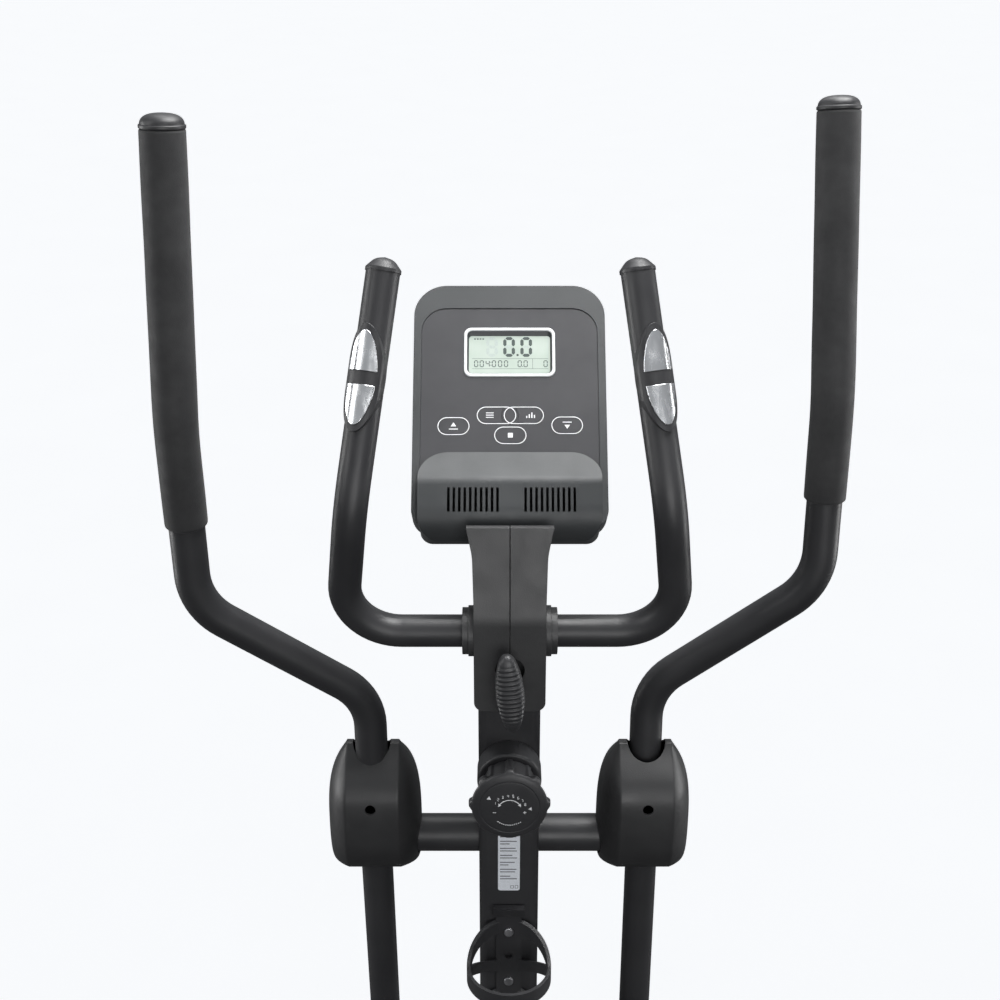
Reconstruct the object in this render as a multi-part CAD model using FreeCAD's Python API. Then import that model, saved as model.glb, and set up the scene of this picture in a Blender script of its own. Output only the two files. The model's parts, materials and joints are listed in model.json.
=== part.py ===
"""Elliptical trainer, built as separate pieces in one frame.

Millimetres, +Z up. The origin is on the floor under the middle of the machine. +Y points
away from the user, towards the front stabiliser, and +X is the user's right-hand side.
Paired pieces are built on the right-hand side and mirrored about X = 0.
"""
import FreeCAD
import Part
import math
import os

Vector = FreeCAD.Vector
ORIGIN = Vector(0, 0, 0)
X_AXIS = Vector(1, 0, 0)
Z_AXIS = Vector(0, 0, 1)
SIDES = (("left", -1), ("right", 1))

# Fits between pieces
RUNNING_FIT = 0.05          # radial clearance of a shaft in its bearing
CLEARANCE = 0.4             # gap between pieces that only pass each other

# Floor frame
HALF_LENGTH = 590.0
STABILIZER_RADIUS = 30.0
STABILIZER_Z = 40.0
STABILIZER_HALF_WIDTH = 235.0
END_CAP_RADIUS = 34.0
WHEEL_RADIUS = 25.0
WHEEL_OFFSET = 58.0         # wheel axle ahead of the front stabiliser
WHEEL_Z = 29.0
FRONT_Y = HALF_LENGTH - WHEEL_OFFSET - WHEEL_RADIUS
REAR_Y = END_CAP_RADIUS - HALF_LENGTH
BEAM_HALF_WIDTH = 20.0
BEAM_BOTTOM = STABILIZER_Z + STABILIZER_RADIUS + 4
BEAM_TOP = BEAM_BOTTOM + 60
BEAM_WALL = 2.5

# Mast and swing-arm axle
MAST_Y = 434.0
MAST_HALF = 30.0
MAST_FACE_Y = MAST_Y - MAST_HALF
MAST_WALL = 2.5
MAST_BOTTOM = BEAM_TOP + 7
MAST_TOP = 1190.0
POST_HALF = 27.2
POST_TOP = 300.0
SWING_Z = 880.0
CROSS_TUBE_RADIUS = 19.0
CROSS_TUBE_END = 111.0
SWING_AXLE_RADIUS = 10.0
SWING_AXLE_END = 161.0

# Swing arms (neutral pose, then turned to the rest pose)
ARM_X = 136.0
ARM_RADIUS = 16.0
ARM_BORE = 14.0
ARM_LENGTH = 650.0          # swing axle to lower pin
ARM_LEAN = 3.5              # degrees that the lower arm leans forward
HUB_RADIUS = 20.0
HUB_HALF_WIDTH = 22.0
LOWER_HUB_RADIUS = 20.0
LOWER_HUB_HALF_WIDTH = 18.0
PIN_RADIUS = 10.0
HANDLE_BOTTOM = SWING_Z + HUB_RADIUS + 1
FOAM_RADIUS = 19.0
FOAM_BOTTOM = 1260.0
HANDLE_TOP = 1598.5

# Crank, pedal bars and pedals
CRANK_Y = -356.0
CRANK_Z = 300.0
CRANK_RADIUS = 130.0
REST_CRANK_ANGLE = 21.3     # left crank pin, degrees forward of straight up
BAR_LENGTH = 840.0          # lower arm pin to crank pin
BAR_X = (88.0, 116.0)
BAR_HALF_HEIGHT = 20.0
BAR_BOSS_RADIUS = 23.0
PEDAL_X = (86.0, 226.0)
PEDAL_FRONT = -290.0        # along the bar, from the lower arm pin
PEDAL_LENGTH = 370.0
CRANK_AXLE_RADIUS = 10.0
DISC_RADIUS = 185.0
DISC_X = (60.0, 78.0)

# Drive inside the housing
FLYWHEEL_Y = CRANK_Y + 210
FLYWHEEL_Z = 262.0
FLYWHEEL_RADIUS = 115.0
FLYWHEEL_X = (-34.0, -10.0)
FLYWHEEL_AXLE_RADIUS = 6.0
PULLEY_X = (12.0, 24.0)
CRANK_PULLEY_RADIUS = 130.0
FLYWHEEL_PULLEY_RADIUS = 17.0
HOUSING_HALF_WIDTH = 56.0
HOUSING_WALL = 3.0
HOUSING_REAR_RADIUS = 200.0
HOUSING_FRONT_RADIUS = 150.0
BRAKE_OPEN_ANGLE = 5.0

# Fixed handlebar, its clamp and the mast head
BAR_AXIS_Y = MAST_Y - 50
BAR_AXIS_Z = 1141.8
HANDLEBAR_RADIUS = 15.0
CLAMP_BOLT_Z = 1106.0
COVER_BOTTOM = 1070.0
COVER_FACE_Y = MAST_Y - 74
COVER_HALF_WIDTH = 33.0
COVER_WALL = 2.5
TENSION_Z = 979.0

# Tension cable: down the mast, back along the beam, up to its stop beside the flywheel
CABLE_RADIUS = 2.2
CABLE_REAR_Y = MAST_Y + 21.8
CABLE_BEAM_Z = BEAM_BOTTOM + 28
CABLE_STOP_Y = FLYWHEEL_Y + 50
CABLE_STOP_Z = 171.0

# Console: its own frame has X across, Y up the face and Z out of the face
CONSOLE_ORIGIN = Vector(0, MAST_Y + 87, 1365)
CONSOLE_LEAN = 40.0         # degrees that the face leans back from vertical
CONSOLE_HALF_WIDTH = 90.5
CONSOLE_TOP = 68.0
CONSOLE_BOTTOM = -172.0
CONSOLE_DEPTH = 38.0
CONSOLE_WALL = 2.5
HOOD_HALF_WIDTH = 84.0
HOOD_TOP = -99.0
HOOD_BOTTOM = -181.0

# Bottle cage
CAGE_RADIUS = 42.5
CAGE_INNER_RADIUS = 39.0
CAGE_Y = MAST_FACE_Y - 43
CAGE_RING_Z = 762.0
CAGE_BOTTOM = 640.0


# ---------------------------------------------------------------- shape helpers

def box(x_range, y_range, z_range):
    """A block between the given limits."""
    size = [high - low for low, high in (x_range, y_range, z_range)]
    return Part.makeBox(*size, Vector(x_range[0], y_range[0], z_range[0]))


def rod(start, end, radius):
    """A round bar between two points."""
    axis = end - start
    return Part.makeCylinder(radius, axis.Length, start, axis)


def rod_x(x_range, y, z, radius):
    """A round bar along X."""
    return rod(Vector(x_range[0], y, z), Vector(x_range[1], y, z), radius)


def rod_y(x, y_range, z, radius):
    """A round bar along Y."""
    return rod(Vector(x, y_range[0], z), Vector(x, y_range[1], z), radius)


def rod_z(x, y, z_range, radius):
    """A round bar along Z."""
    return rod(Vector(x, y, z_range[0]), Vector(x, y, z_range[1]), radius)


def sleeve_x(x_range, y, z, outer, inner):
    """A tube along X."""
    return rod_x(x_range, y, z, outer).cut(rod_x(x_range, y, z, inner))


def joined(shapes):
    """The shapes as one solid, with the seams between them removed."""
    return shapes[0].fuse(shapes[1:]).removeSplitter()


def mirrored(shape):
    """The same piece on the other side of the machine."""
    return shape.mirror(ORIGIN, X_AXIS)


def on_side(shape, side):
    """A right-hand shape, kept on the right (1) or mirrored to the left (-1)."""
    return shape if side > 0 else mirrored(shape)


def both_sides(shape):
    """A right-hand shape and its mirror image."""
    return [shape, mirrored(shape)]


def turned(shape, centre, axis, degrees):
    """A copy of the shape turned about an axis through a point."""
    copy = shape.copy()
    copy.rotate(centre, axis, degrees)
    return copy


def corner_arc(before, corner, after, radius):
    """Start, middle and end of the tangent arc that rounds one corner."""
    arrive = (corner - before).normalize()
    leave = (after - corner).normalize()
    half_turn = arrive.getAngle(leave) / 2
    setback = radius * math.tan(half_turn)
    inward = (leave - arrive).normalize()
    centre = corner + inward * (radius / math.cos(half_turn))
    return corner - arrive * setback, centre - inward * radius, corner + leave * setback


def path(points, radii, closed=False):
    """Straight runs between points, joined by tangent arcs; a radius of 0 keeps a corner sharp."""
    count = len(points)
    if isinstance(radii, (int, float)):
        radii = [radii] * count
    corners = []
    for i, (corner, radius) in enumerate(zip(points, radii)):
        is_end = not closed and i in (0, count - 1)
        if radius <= 0 or is_end:
            corners.append((corner, None, corner))
        else:
            corners.append(corner_arc(points[i - 1], corner, points[(i + 1) % count], radius))
    edges = []
    for i, (start, middle, end) in enumerate(corners):
        if middle is not None:
            edges.append(Part.Arc(start, middle, end).toShape())
        if closed or i < count - 1:
            following = corners[(i + 1) % count][0]
            if end.distanceToPoint(following) > 1e-6:
                edges.append(Part.LineSegment(end, following).toShape())
    return Part.Wire(edges)


def prism(points, radii, push):
    """A closed outline with rounded corners, pushed along a vector."""
    return Part.Face(path(points, radii, closed=True)).extrude(push)


def side_prism(outline, radii, x_range):
    """A prism along X from (y, z) points."""
    points = [Vector(x_range[0], y, z) for y, z in outline]
    return prism(points, radii, Vector(x_range[1] - x_range[0], 0, 0))


def front_prism(outline, radii, y_range):
    """A prism along Y from (x, z) points."""
    points = [Vector(x, y_range[0], z) for x, z in outline]
    return prism(points, radii, Vector(0, y_range[1] - y_range[0], 0))


def plan_prism(outline, radii, z_range):
    """A prism along Z from (x, y) points."""
    points = [Vector(x, y, z_range[0]) for x, y in outline]
    return prism(points, radii, Vector(0, 0, z_range[1] - z_range[0]))


def rectangle(x_range, y_range):
    """The corners of a rectangle, anticlockwise."""
    (x0, x1), (y0, y1) = x_range, y_range
    return [(x0, y0), (x1, y0), (x1, y1), (x0, y1)]


def symmetric(right_half):
    """A closed outline from its right-hand points, listed from top to bottom."""
    return right_half + [(-x, y) for x, y in reversed(right_half)]


def pipe(points, radii, radius):
    """A round bar along a bent path."""
    spine = path(points, radii)
    section = Part.Wire([Part.makeCircle(radius, points[0], points[1] - points[0])])
    return spine.makePipeShell([section], True, False)


def bent_tube(points, radii, outer, inner):
    """A tube along a bent path, open at both ends."""
    return pipe(points, radii, outer).cut(pipe(points, radii, inner))


def ring_sweep(outline, radii, y, z):
    """A solid of revolution about the X line through (y, z), from (x, radius) points."""
    points = [Vector(x, y, z + radius) for x, radius in outline]
    face = Part.Face(path(points, radii, closed=True))
    return face.revolve(Vector(0, y, z), X_AXIS, 360)


def spool_y(outline, radii, x, z):
    """A solid of revolution about the Y line through (x, z), from (y, radius) points."""
    points = [Vector(x, y, z + radius) for y, radius in outline]
    face = Part.Face(path(points, radii, closed=True))
    return face.revolve(Vector(x, 0, z), Vector(0, 1, 0), 360)


def wrap_outline(centre_a, radius_a, centre_b, radius_b, x):
    """The closed line that a tight band takes round two circles, in the plane at x."""
    spacing = math.dist(centre_a, centre_b)
    heading = math.atan2(centre_b[1] - centre_a[1], centre_b[0] - centre_a[0])
    opening = math.acos((radius_a - radius_b) / spacing)

    def on_circle(centre, radius, angle):
        return Vector(x, centre[0] + radius * math.cos(angle), centre[1] + radius * math.sin(angle))

    a_start = on_circle(centre_a, radius_a, heading + opening)
    a_middle = on_circle(centre_a, radius_a, heading + math.pi)
    a_end = on_circle(centre_a, radius_a, heading - opening)
    b_start = on_circle(centre_b, radius_b, heading - opening)
    b_middle = on_circle(centre_b, radius_b, heading)
    b_end = on_circle(centre_b, radius_b, heading + opening)
    return Part.Wire([
        Part.Arc(a_start, a_middle, a_end).toShape(),
        Part.LineSegment(a_end, b_start).toShape(),
        Part.Arc(b_start, b_middle, b_end).toShape(),
        Part.LineSegment(b_end, a_start).toShape(),
    ])


def wrap_solid(centre_a, radius_a, centre_b, radius_b, x_range):
    """A plate with the outline of a band round two circles."""
    outline = wrap_outline(centre_a, radius_a, centre_b, radius_b, x_range[0])
    return Part.Face(outline).extrude(Vector(x_range[1] - x_range[0], 0, 0))


def save(name, solids):
    """Write one sub-part and stop if any of its solids is not sound."""
    if not isinstance(solids, list):
        solids = [solids]
    pieces = [solid for shape in solids for solid in shape.Solids]
    for piece in pieces:
        if not piece.isValid() or piece.Volume <= 0:
            raise ValueError(f"{name} has an unsound solid")
    whole = pieces[0] if len(pieces) == 1 else Part.makeCompound(pieces)
    whole.exportStep(f"parts/{name}.step")
    print(f"{name}: {len(pieces)} solid(s), {whole.Volume / 1000:.1f} cm3")


# ---------------------------------------------------------------- linkage

def crank_pin(side):
    """The (y, z) of a crank pin at rest; the two pins are opposite each other."""
    angle = math.radians(REST_CRANK_ANGLE)
    reach = -side * CRANK_RADIUS
    return CRANK_Y + reach * math.sin(angle), CRANK_Z + reach * math.cos(angle)


def arm_pin(side):
    """The (y, z) of a lower arm pin at rest, where arm and pedal bar meet."""
    pin_y, pin_z = crank_pin(side)
    spacing = math.dist((MAST_Y, SWING_Z), (pin_y, pin_z))
    along = (ARM_LENGTH ** 2 - BAR_LENGTH ** 2 + spacing ** 2) / (2 * spacing)
    across = math.sqrt(ARM_LENGTH ** 2 - along ** 2)
    toward_y = (pin_y - MAST_Y) / spacing
    toward_z = (pin_z - SWING_Z) / spacing
    return (MAST_Y + along * toward_y - across * toward_z,
            SWING_Z + along * toward_z + across * toward_y)


def arm_angle(side):
    """Degrees that an arm is turned about +X from neutral at rest."""
    pin_y, pin_z = arm_pin(side)
    return math.degrees(math.atan2(pin_y - MAST_Y, SWING_Z - pin_z)) - ARM_LEAN


def bar_angle(side):
    """Degrees that a pedal bar is turned about +X from level at rest."""
    front_y, front_z = arm_pin(side)
    rear_y, rear_z = crank_pin(side)
    return math.degrees(math.atan2(front_z - rear_z, front_y - rear_y))


def arm_at_rest(shape, side):
    """A neutral right-hand arm piece, turned and put on its side."""
    centre = Vector(0, MAST_Y, SWING_Z)
    return on_side(turned(shape, centre, X_AXIS, arm_angle(side)), side)


def bar_at_rest(shape, side):
    """A level right-hand bar piece, built about its front pin, put in place."""
    pin_y, pin_z = arm_pin(side)
    placed = turned(shape, ORIGIN, X_AXIS, bar_angle(side))
    placed.translate(Vector(0, pin_y, pin_z))
    return on_side(placed, side)


# ---------------------------------------------------------------- floor frame

def saddle(y):
    """The curved plate that joins the beam to a stabiliser tube."""
    plate = sleeve_x((-60, 60), y, STABILIZER_Z, STABILIZER_RADIUS + 6, STABILIZER_RADIUS)
    return plate.common(box((-60, 60), (y - 40, y + 40), (STABILIZER_Z + 14, BEAM_BOTTOM + 10)))


def flywheel_fork():
    """Two upright plates on a foot, with a raised ear that carries the brake bracket."""
    foot = box((-42, 36), (FLYWHEEL_Y - 35, FLYWHEEL_Y + 30), (BEAM_TOP - 1, BEAM_TOP + 4))
    left = box((-42, -38), (FLYWHEEL_Y - 25, FLYWHEEL_Y + 30), (BEAM_TOP, 400))
    right = box((32, 36), (FLYWHEEL_Y - 25, FLYWHEEL_Y + 25), (BEAM_TOP, FLYWHEEL_Z + 22))
    pivot_y, pivot_z = brake_pivot()
    pivot = rod_x((-42, -5), pivot_y, pivot_z, 4)
    axle_hole = rod_x((-45, 40), FLYWHEEL_Y, FLYWHEEL_Z, FLYWHEEL_AXLE_RADIUS)
    return foot.fuse([left, right, pivot]).cut(axle_hole)


def base_frame():
    """Floor beam with saddles, mast post, crank upright, flywheel fork and cable stop."""
    beam_range = (REAR_Y - 22, FRONT_Y + 22)
    beam = box((-BEAM_HALF_WIDTH, BEAM_HALF_WIDTH), beam_range, (BEAM_BOTTOM, BEAM_TOP))
    post_foot = box((-42, 42), (MAST_Y - 42, MAST_Y + 42), (BEAM_TOP - 1, BEAM_TOP + 5))
    post = plan_prism(rectangle((-POST_HALF, POST_HALF), (MAST_Y - POST_HALF, MAST_Y + POST_HALF)), 7,
                      (BEAM_TOP, POST_TOP))
    upright = box((-32, 2), (CRANK_Y - 30, CRANK_Y + 30), (BEAM_TOP - 1, CRANK_Z - 10))
    crank_shell = rod_x((-38, 8), CRANK_Y, CRANK_Z, 27)
    stop_top = CABLE_STOP_Z + 4
    stop_post = box((-5, 5), (CABLE_STOP_Y - 10, CABLE_STOP_Y - 6), (BEAM_TOP - 1, stop_top))
    stop_tab = box((-5, 5), (CABLE_STOP_Y - 10, CABLE_STOP_Y + 10), (CABLE_STOP_Z, stop_top))
    body = joined([beam, post_foot, post, upright, crank_shell, saddle(FRONT_Y), saddle(REAR_Y),
                   flywheel_fork(), stop_post, stop_tab])
    inner = BEAM_HALF_WIDTH - BEAM_WALL
    beam_hollow = box((-inner, inner), (beam_range[0] - 1, beam_range[1] + 1),
                      (BEAM_BOTTOM + BEAM_WALL, BEAM_TOP - BEAM_WALL))
    post_inner = POST_HALF - 3
    post_hollow = box((-post_inner, post_inner), (MAST_Y - post_inner, MAST_Y + post_inner),
                      (BEAM_TOP + 5, POST_TOP + 1))
    upright_hollow = box((-29, -1), (CRANK_Y - 27, CRANK_Y + 27), (BEAM_TOP + 2, CRANK_Z - 35))
    bearing_bore = rod_x((-40, 10), CRANK_Y, CRANK_Z, 21)
    cable_holes = [rod_z(0, CABLE_REAR_Y, (BEAM_TOP - 10, BEAM_TOP + 10), 6),
                   rod_z(0, CABLE_STOP_Y, (BEAM_TOP - 10, BEAM_TOP + 10), 5),
                   rod_z(0, CABLE_STOP_Y, (CABLE_STOP_Z - 5, stop_top + 5), 1.2)]
    return body.cut([beam_hollow, post_hollow, upright_hollow, bearing_bore] + cable_holes
                    + frame_bolt_holes())


def frame_bolt_places():
    """Start, end and radius of each frame bolt: stabiliser bolts and mast bolts."""
    places = []
    for y in (FRONT_Y, REAR_Y):
        for x in (-45, 45):
            places.append((Vector(x, y, STABILIZER_Z - 26), Vector(x, y, BEAM_BOTTOM + 12)))
    for z in (225, 275):
        places.append((Vector(-MAST_HALF - 7, MAST_Y, z), Vector(MAST_HALF + 7, MAST_Y, z)))
    return places


def frame_bolt_holes():
    """Holes that the frame bolts pass through."""
    return [rod(start, end, 4) for start, end in frame_bolt_places()]


def frame_fasteners():
    """Bolts with a washer and a domed nut at the visible end, and the wheel bolts."""
    bolts = []
    for start, end in frame_bolt_places():
        direction = (end - start).normalize()
        nut_base = end - direction * 8
        washer_base = nut_base - direction * 2
        if start.z == end.z:
            washer_base = start + direction * 5
            bolts.append(rod(start, washer_base, 7))
            bolts.append(rod(washer_base, washer_base + direction * 2, 9))
            washer_base = end - direction * 7
            nut_base = end - direction * 5
            shank = rod(start + direction * 7, washer_base, 4)
        else:
            shank = rod(start, washer_base, 4)
        bolts.append(shank)
        bolts.append(rod(washer_base, nut_base, 9))
        bolts.append(rod(nut_base, end, 7))
    return bolts


def stabilizer_tubes():
    """The front and rear floor tubes, across the machine."""
    tubes = []
    for y in (FRONT_Y, REAR_Y):
        span = (-STABILIZER_HALF_WIDTH, STABILIZER_HALF_WIDTH)
        tube = sleeve_x(span, y, STABILIZER_Z, STABILIZER_RADIUS, STABILIZER_RADIUS - 2)
        tubes.append(tube.cut(frame_bolt_holes()))
    return tubes


def end_cap(y, carries_wheel):
    """A foot cap on a stabiliser end, flat underneath, with wheel forks on the front ones."""
    inner_x = STABILIZER_HALF_WIDTH - 40
    outer_x = STABILIZER_HALF_WIDTH + 12
    shell = rod_x((inner_x, outer_x), y, STABILIZER_Z, END_CAP_RADIUS)
    foot = box((inner_x, outer_x), (y - 22, y + 22), (0, STABILIZER_Z))
    cap = joined([shell, foot])
    if carries_wheel:
        wheel_y = y + WHEEL_OFFSET
        for fork_x in ((inner_x, inner_x + 6), (outer_x - 14, outer_x - 8)):
            cheek = side_prism([(y, STABILIZER_Z - 20), (wheel_y + 8, WHEEL_Z - 8),
                                (wheel_y + 8, WHEEL_Z + 10), (y, STABILIZER_Z + 22)], [0, 6, 6, 0], fork_x)
            cap = cap.fuse(cheek)
        wheel_gap = (inner_x + 6, outer_x - 14)
        cap = cap.cut(rod_x(wheel_gap, wheel_y, WHEEL_Z, WHEEL_RADIUS + 2))
        cap = cap.cut(rod_x((inner_x - 1, outer_x), wheel_y, WHEEL_Z, 4))
        cap = cap.cut(rod_x((outer_x - 8, outer_x + 1), wheel_y, WHEEL_Z, 7.5))
    bore = rod_x((inner_x - 1, outer_x - 4), y, STABILIZER_Z, STABILIZER_RADIUS)
    return cap.cut(bore)


def stabilizer_end_caps():
    """All four foot caps."""
    return both_sides(end_cap(FRONT_Y, True)) + both_sides(end_cap(REAR_Y, False))


def wheel_span():
    """The X range of a transport wheel between its fork cheeks."""
    return STABILIZER_HALF_WIDTH - 32, STABILIZER_HALF_WIDTH - 4


def transport_wheel():
    """A wheel with a grooved tread, turning on its bolt."""
    left, right = wheel_span()
    outline = [(left, 4 + RUNNING_FIT), (right, 4 + RUNNING_FIT), (right, WHEEL_RADIUS),
               (left, WHEEL_RADIUS)]
    wheel = ring_sweep(outline, [0, 0, 4, 4], FRONT_Y + WHEEL_OFFSET, WHEEL_Z)
    hollow = sleeve_x((right - 6, right + 1), FRONT_Y + WHEEL_OFFSET, WHEEL_Z, 18, 9)
    return wheel.cut(hollow)


def wheel_bolt():
    """The bolt that a transport wheel turns on."""
    inner_x = STABILIZER_HALF_WIDTH - 40
    outer_x = STABILIZER_HALF_WIDTH + 4
    y = FRONT_Y + WHEEL_OFFSET
    shank = rod_x((inner_x, outer_x), y, WHEEL_Z, 4)
    head = rod_x((outer_x, outer_x + 4), y, WHEEL_Z, 7)
    nut = rod_x((inner_x - 5, inner_x), y, WHEEL_Z, 7)
    return joined([shank, head, nut])


# ---------------------------------------------------------------- mast

def mast():
    """Square mast tube with rounded corners and the cross tube for the swing axle."""
    outline = rectangle((-MAST_HALF, MAST_HALF), (MAST_Y - MAST_HALF, MAST_Y + MAST_HALF))
    inner = MAST_HALF - MAST_WALL
    hollow = rectangle((-inner, inner), (MAST_Y - inner, MAST_Y + inner))
    tube = plan_prism(outline, 9, (MAST_BOTTOM, MAST_TOP))
    cross = rod_x((-CROSS_TUBE_END, CROSS_TUBE_END), MAST_Y, SWING_Z, CROSS_TUBE_RADIUS)
    bore = rod_x((-CROSS_TUBE_END - 1, CROSS_TUBE_END + 1), MAST_Y, SWING_Z, CROSS_TUBE_RADIUS - 3)
    shell = tube.cut(plan_prism(hollow, 6.5, (MAST_BOTTOM - 1, MAST_TOP + 1)))
    cable_hole = rod_y(0, (MAST_FACE_Y - 1, MAST_FACE_Y + 4), TENSION_Z, 3)
    return joined([shell, cross]).cut([bore, cable_hole] + frame_bolt_holes() + cage_screw_holes())


def mast_base_cover():
    """Moulded boot round the foot of the mast, in a stepped pyramid."""
    def block(inset, z_range):
        half = 54 - inset
        return plan_prism(rectangle((-half, half), (MAST_Y - half, MAST_Y + half)), 14 - inset, z_range)

    skirt = block(0, (BEAM_TOP, BEAM_TOP + 34))
    collar_half = MAST_HALF + 8
    collar = plan_prism(rectangle((-collar_half, collar_half), (MAST_Y - collar_half, MAST_Y + collar_half)),
                        12, (BEAM_TOP + 30, BEAM_TOP + 62))
    cavity = block(3, (BEAM_TOP - 1, BEAM_TOP + 31))
    reach = MAST_HALF + CLEARANCE
    passage = plan_prism(rectangle((-reach, reach), (MAST_Y - reach, MAST_Y + reach)), 9,
                         (BEAM_TOP - 1, BEAM_TOP + 70))
    return joined([skirt, collar]).cut([cavity, passage])


def pivot_axle():
    """Swing axle through the cross tube, its two end bushes, washers and bolts."""
    axle = rod_x((-SWING_AXLE_END, SWING_AXLE_END), MAST_Y, SWING_Z, SWING_AXLE_RADIUS)
    bush = sleeve_x((CROSS_TUBE_END - 18, CROSS_TUBE_END), MAST_Y, SWING_Z,
                    CROSS_TUBE_RADIUS - 3, SWING_AXLE_RADIUS)
    washer = rod_x((SWING_AXLE_END, SWING_AXLE_END + 2.5), MAST_Y, SWING_Z, 15)
    bolt = rod_x((SWING_AXLE_END + 2.5, SWING_AXLE_END + 7), MAST_Y, SWING_Z, 8)
    return [axle] + both_sides(bush) + both_sides(washer) + both_sides(bolt)


def tension_cable():
    """Brake cable from the tension control to its stop beside the flywheel."""
    points = [Vector(0, MAST_FACE_Y + 0.5, TENSION_Z), Vector(0, CABLE_REAR_Y, TENSION_Z),
              Vector(0, CABLE_REAR_Y, CABLE_BEAM_Z), Vector(0, CABLE_STOP_Y, CABLE_BEAM_Z),
              Vector(0, CABLE_STOP_Y, CABLE_STOP_Z)]
    return pipe(points, [0, 30, 24, 24, 0], CABLE_RADIUS)


# ---------------------------------------------------------------- swing arms

def arm_direction():
    """Unit vector from the swing axle to the lower pin in the neutral pose."""
    lean = math.radians(ARM_LEAN)
    return Vector(0, math.sin(lean), -math.cos(lean))


def lower_arm():
    """Tube from the swing hub to the lower hub, with the stub for the upper handle."""
    top = Vector(ARM_X, MAST_Y, SWING_Z)
    bottom = top + arm_direction() * ARM_LENGTH
    hub_span = (ARM_X - HUB_HALF_WIDTH, ARM_X + HUB_HALF_WIDTH)
    lower_span = (ARM_X - LOWER_HUB_HALF_WIDTH, ARM_X + LOWER_HUB_HALF_WIDTH)
    tube = rod(top, bottom, ARM_RADIUS)
    hub = rod_x(hub_span, top.y, top.z, HUB_RADIUS)
    lower_hub = rod_x(lower_span, bottom.y, bottom.z, LOWER_HUB_RADIUS)
    stub = rod(top, top + Vector(0, 0, 85), ARM_BORE - 0.2)
    hollow = rod(top + arm_direction() * 26, bottom - arm_direction() * 22, ARM_BORE)
    hub_bore = rod_x(hub_span, top.y, top.z, ARM_BORE)
    pin_bore = rod_x(lower_span, bottom.y, bottom.z, PIN_RADIUS)
    arm = joined([tube, hub, lower_hub, stub]).cut([hollow, hub_bore, pin_bore, handle_bolt_shank()])
    shank = rod_x((BAR_X[0] - 4, lower_span[1] + 2), bottom.y, bottom.z, PIN_RADIUS)
    head = rod_x((BAR_X[0] - 8, BAR_X[0] - 4), bottom.y, bottom.z, 15)
    nut = rod_x((lower_span[1] + 2, lower_span[1] + 8), bottom.y, bottom.z, 12)
    return [arm, joined([shank, head, nut])]


def handle_bolt_shank():
    """The bolt that clamps the upper handle to the stub of the lower arm."""
    return rod_y(ARM_X, (MAST_Y - 20, MAST_Y + 20), SWING_Z + 60, 4)


def pivot_fittings():
    """Two flanged bushes in the swing hub, and the handle bolt with its nut."""
    bushes = []
    for inner_x, outer_x, flange_x in ((ARM_X - 22, ARM_X - 2, ARM_X - 24.5), (ARM_X + 2, ARM_X + 22, ARM_X + 22)):
        body = rod_x((inner_x, outer_x), MAST_Y, SWING_Z, ARM_BORE)
        flange = rod_x((flange_x, flange_x + 2.5 - CLEARANCE / 2), MAST_Y, SWING_Z, ARM_BORE + 2)
        if flange_x < inner_x:
            flange = rod_x((flange_x + CLEARANCE, inner_x), MAST_Y, SWING_Z, ARM_BORE + 2)
        bore = rod_x((inner_x - 5, outer_x + 5), MAST_Y, SWING_Z, SWING_AXLE_RADIUS + RUNNING_FIT)
        bushes.append(joined([body, flange]).cut(bore))
    head = rod_y(ARM_X, (MAST_Y - 24, MAST_Y - 20), SWING_Z + 60, 6.5)
    nut = rod_y(ARM_X, (MAST_Y + 20, MAST_Y + 25), SWING_Z + 60, 6.5)
    return bushes + [joined([handle_bolt_shank(), head, nut])]


def handle_points():
    """The centreline of the upper handle in the neutral pose."""
    return [Vector(ARM_X, MAST_Y, HANDLE_BOTTOM), Vector(ARM_X, MAST_Y, 1046),
            Vector(285, MAST_Y - 42, 1176), Vector(285, MAST_Y - 44, 1351),
            Vector(278.5, MAST_Y - 8, HANDLE_TOP)]


def upper_handle():
    """Bent handle tube from the pivot up to the grip."""
    tube = bent_tube(handle_points(), [0, 70, 70, 300, 0], ARM_RADIUS, ARM_BORE)
    return tube.cut(handle_bolt_shank())


def grip():
    """Long foam sleeve over the top of the upper handle."""
    points = handle_points()[2:]
    start = points[0] + (points[1] - points[0]) * ((FOAM_BOTTOM - points[0].z) / (points[1].z - points[0].z))
    return bent_tube([start] + points[1:], [0, 300, 0], FOAM_RADIUS, ARM_RADIUS)


def domed_cap(end, direction, radius, plug_radius):
    """A domed end cap with a plug that fits inside a tube."""
    outline = [(-18, 0), (-18, plug_radius), (0, plug_radius), (0, radius), (3, radius),
               (11, radius * 0.55), (13, 0)]
    points = [Vector(reach, 0, along) for along, reach in outline]
    face = Part.Face(path(points, [0, 0, 0, 0, 2, 12, 0], closed=True))
    cap = face.revolve(ORIGIN, Z_AXIS, 360)
    cap.Placement = FreeCAD.Placement(end, FreeCAD.Rotation(Z_AXIS, direction))
    return cap


def grip_cap():
    """End cap on top of the foam grip."""
    points = handle_points()
    return domed_cap(points[-1], points[-1] - points[-2], FOAM_RADIUS, ARM_BORE)


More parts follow.
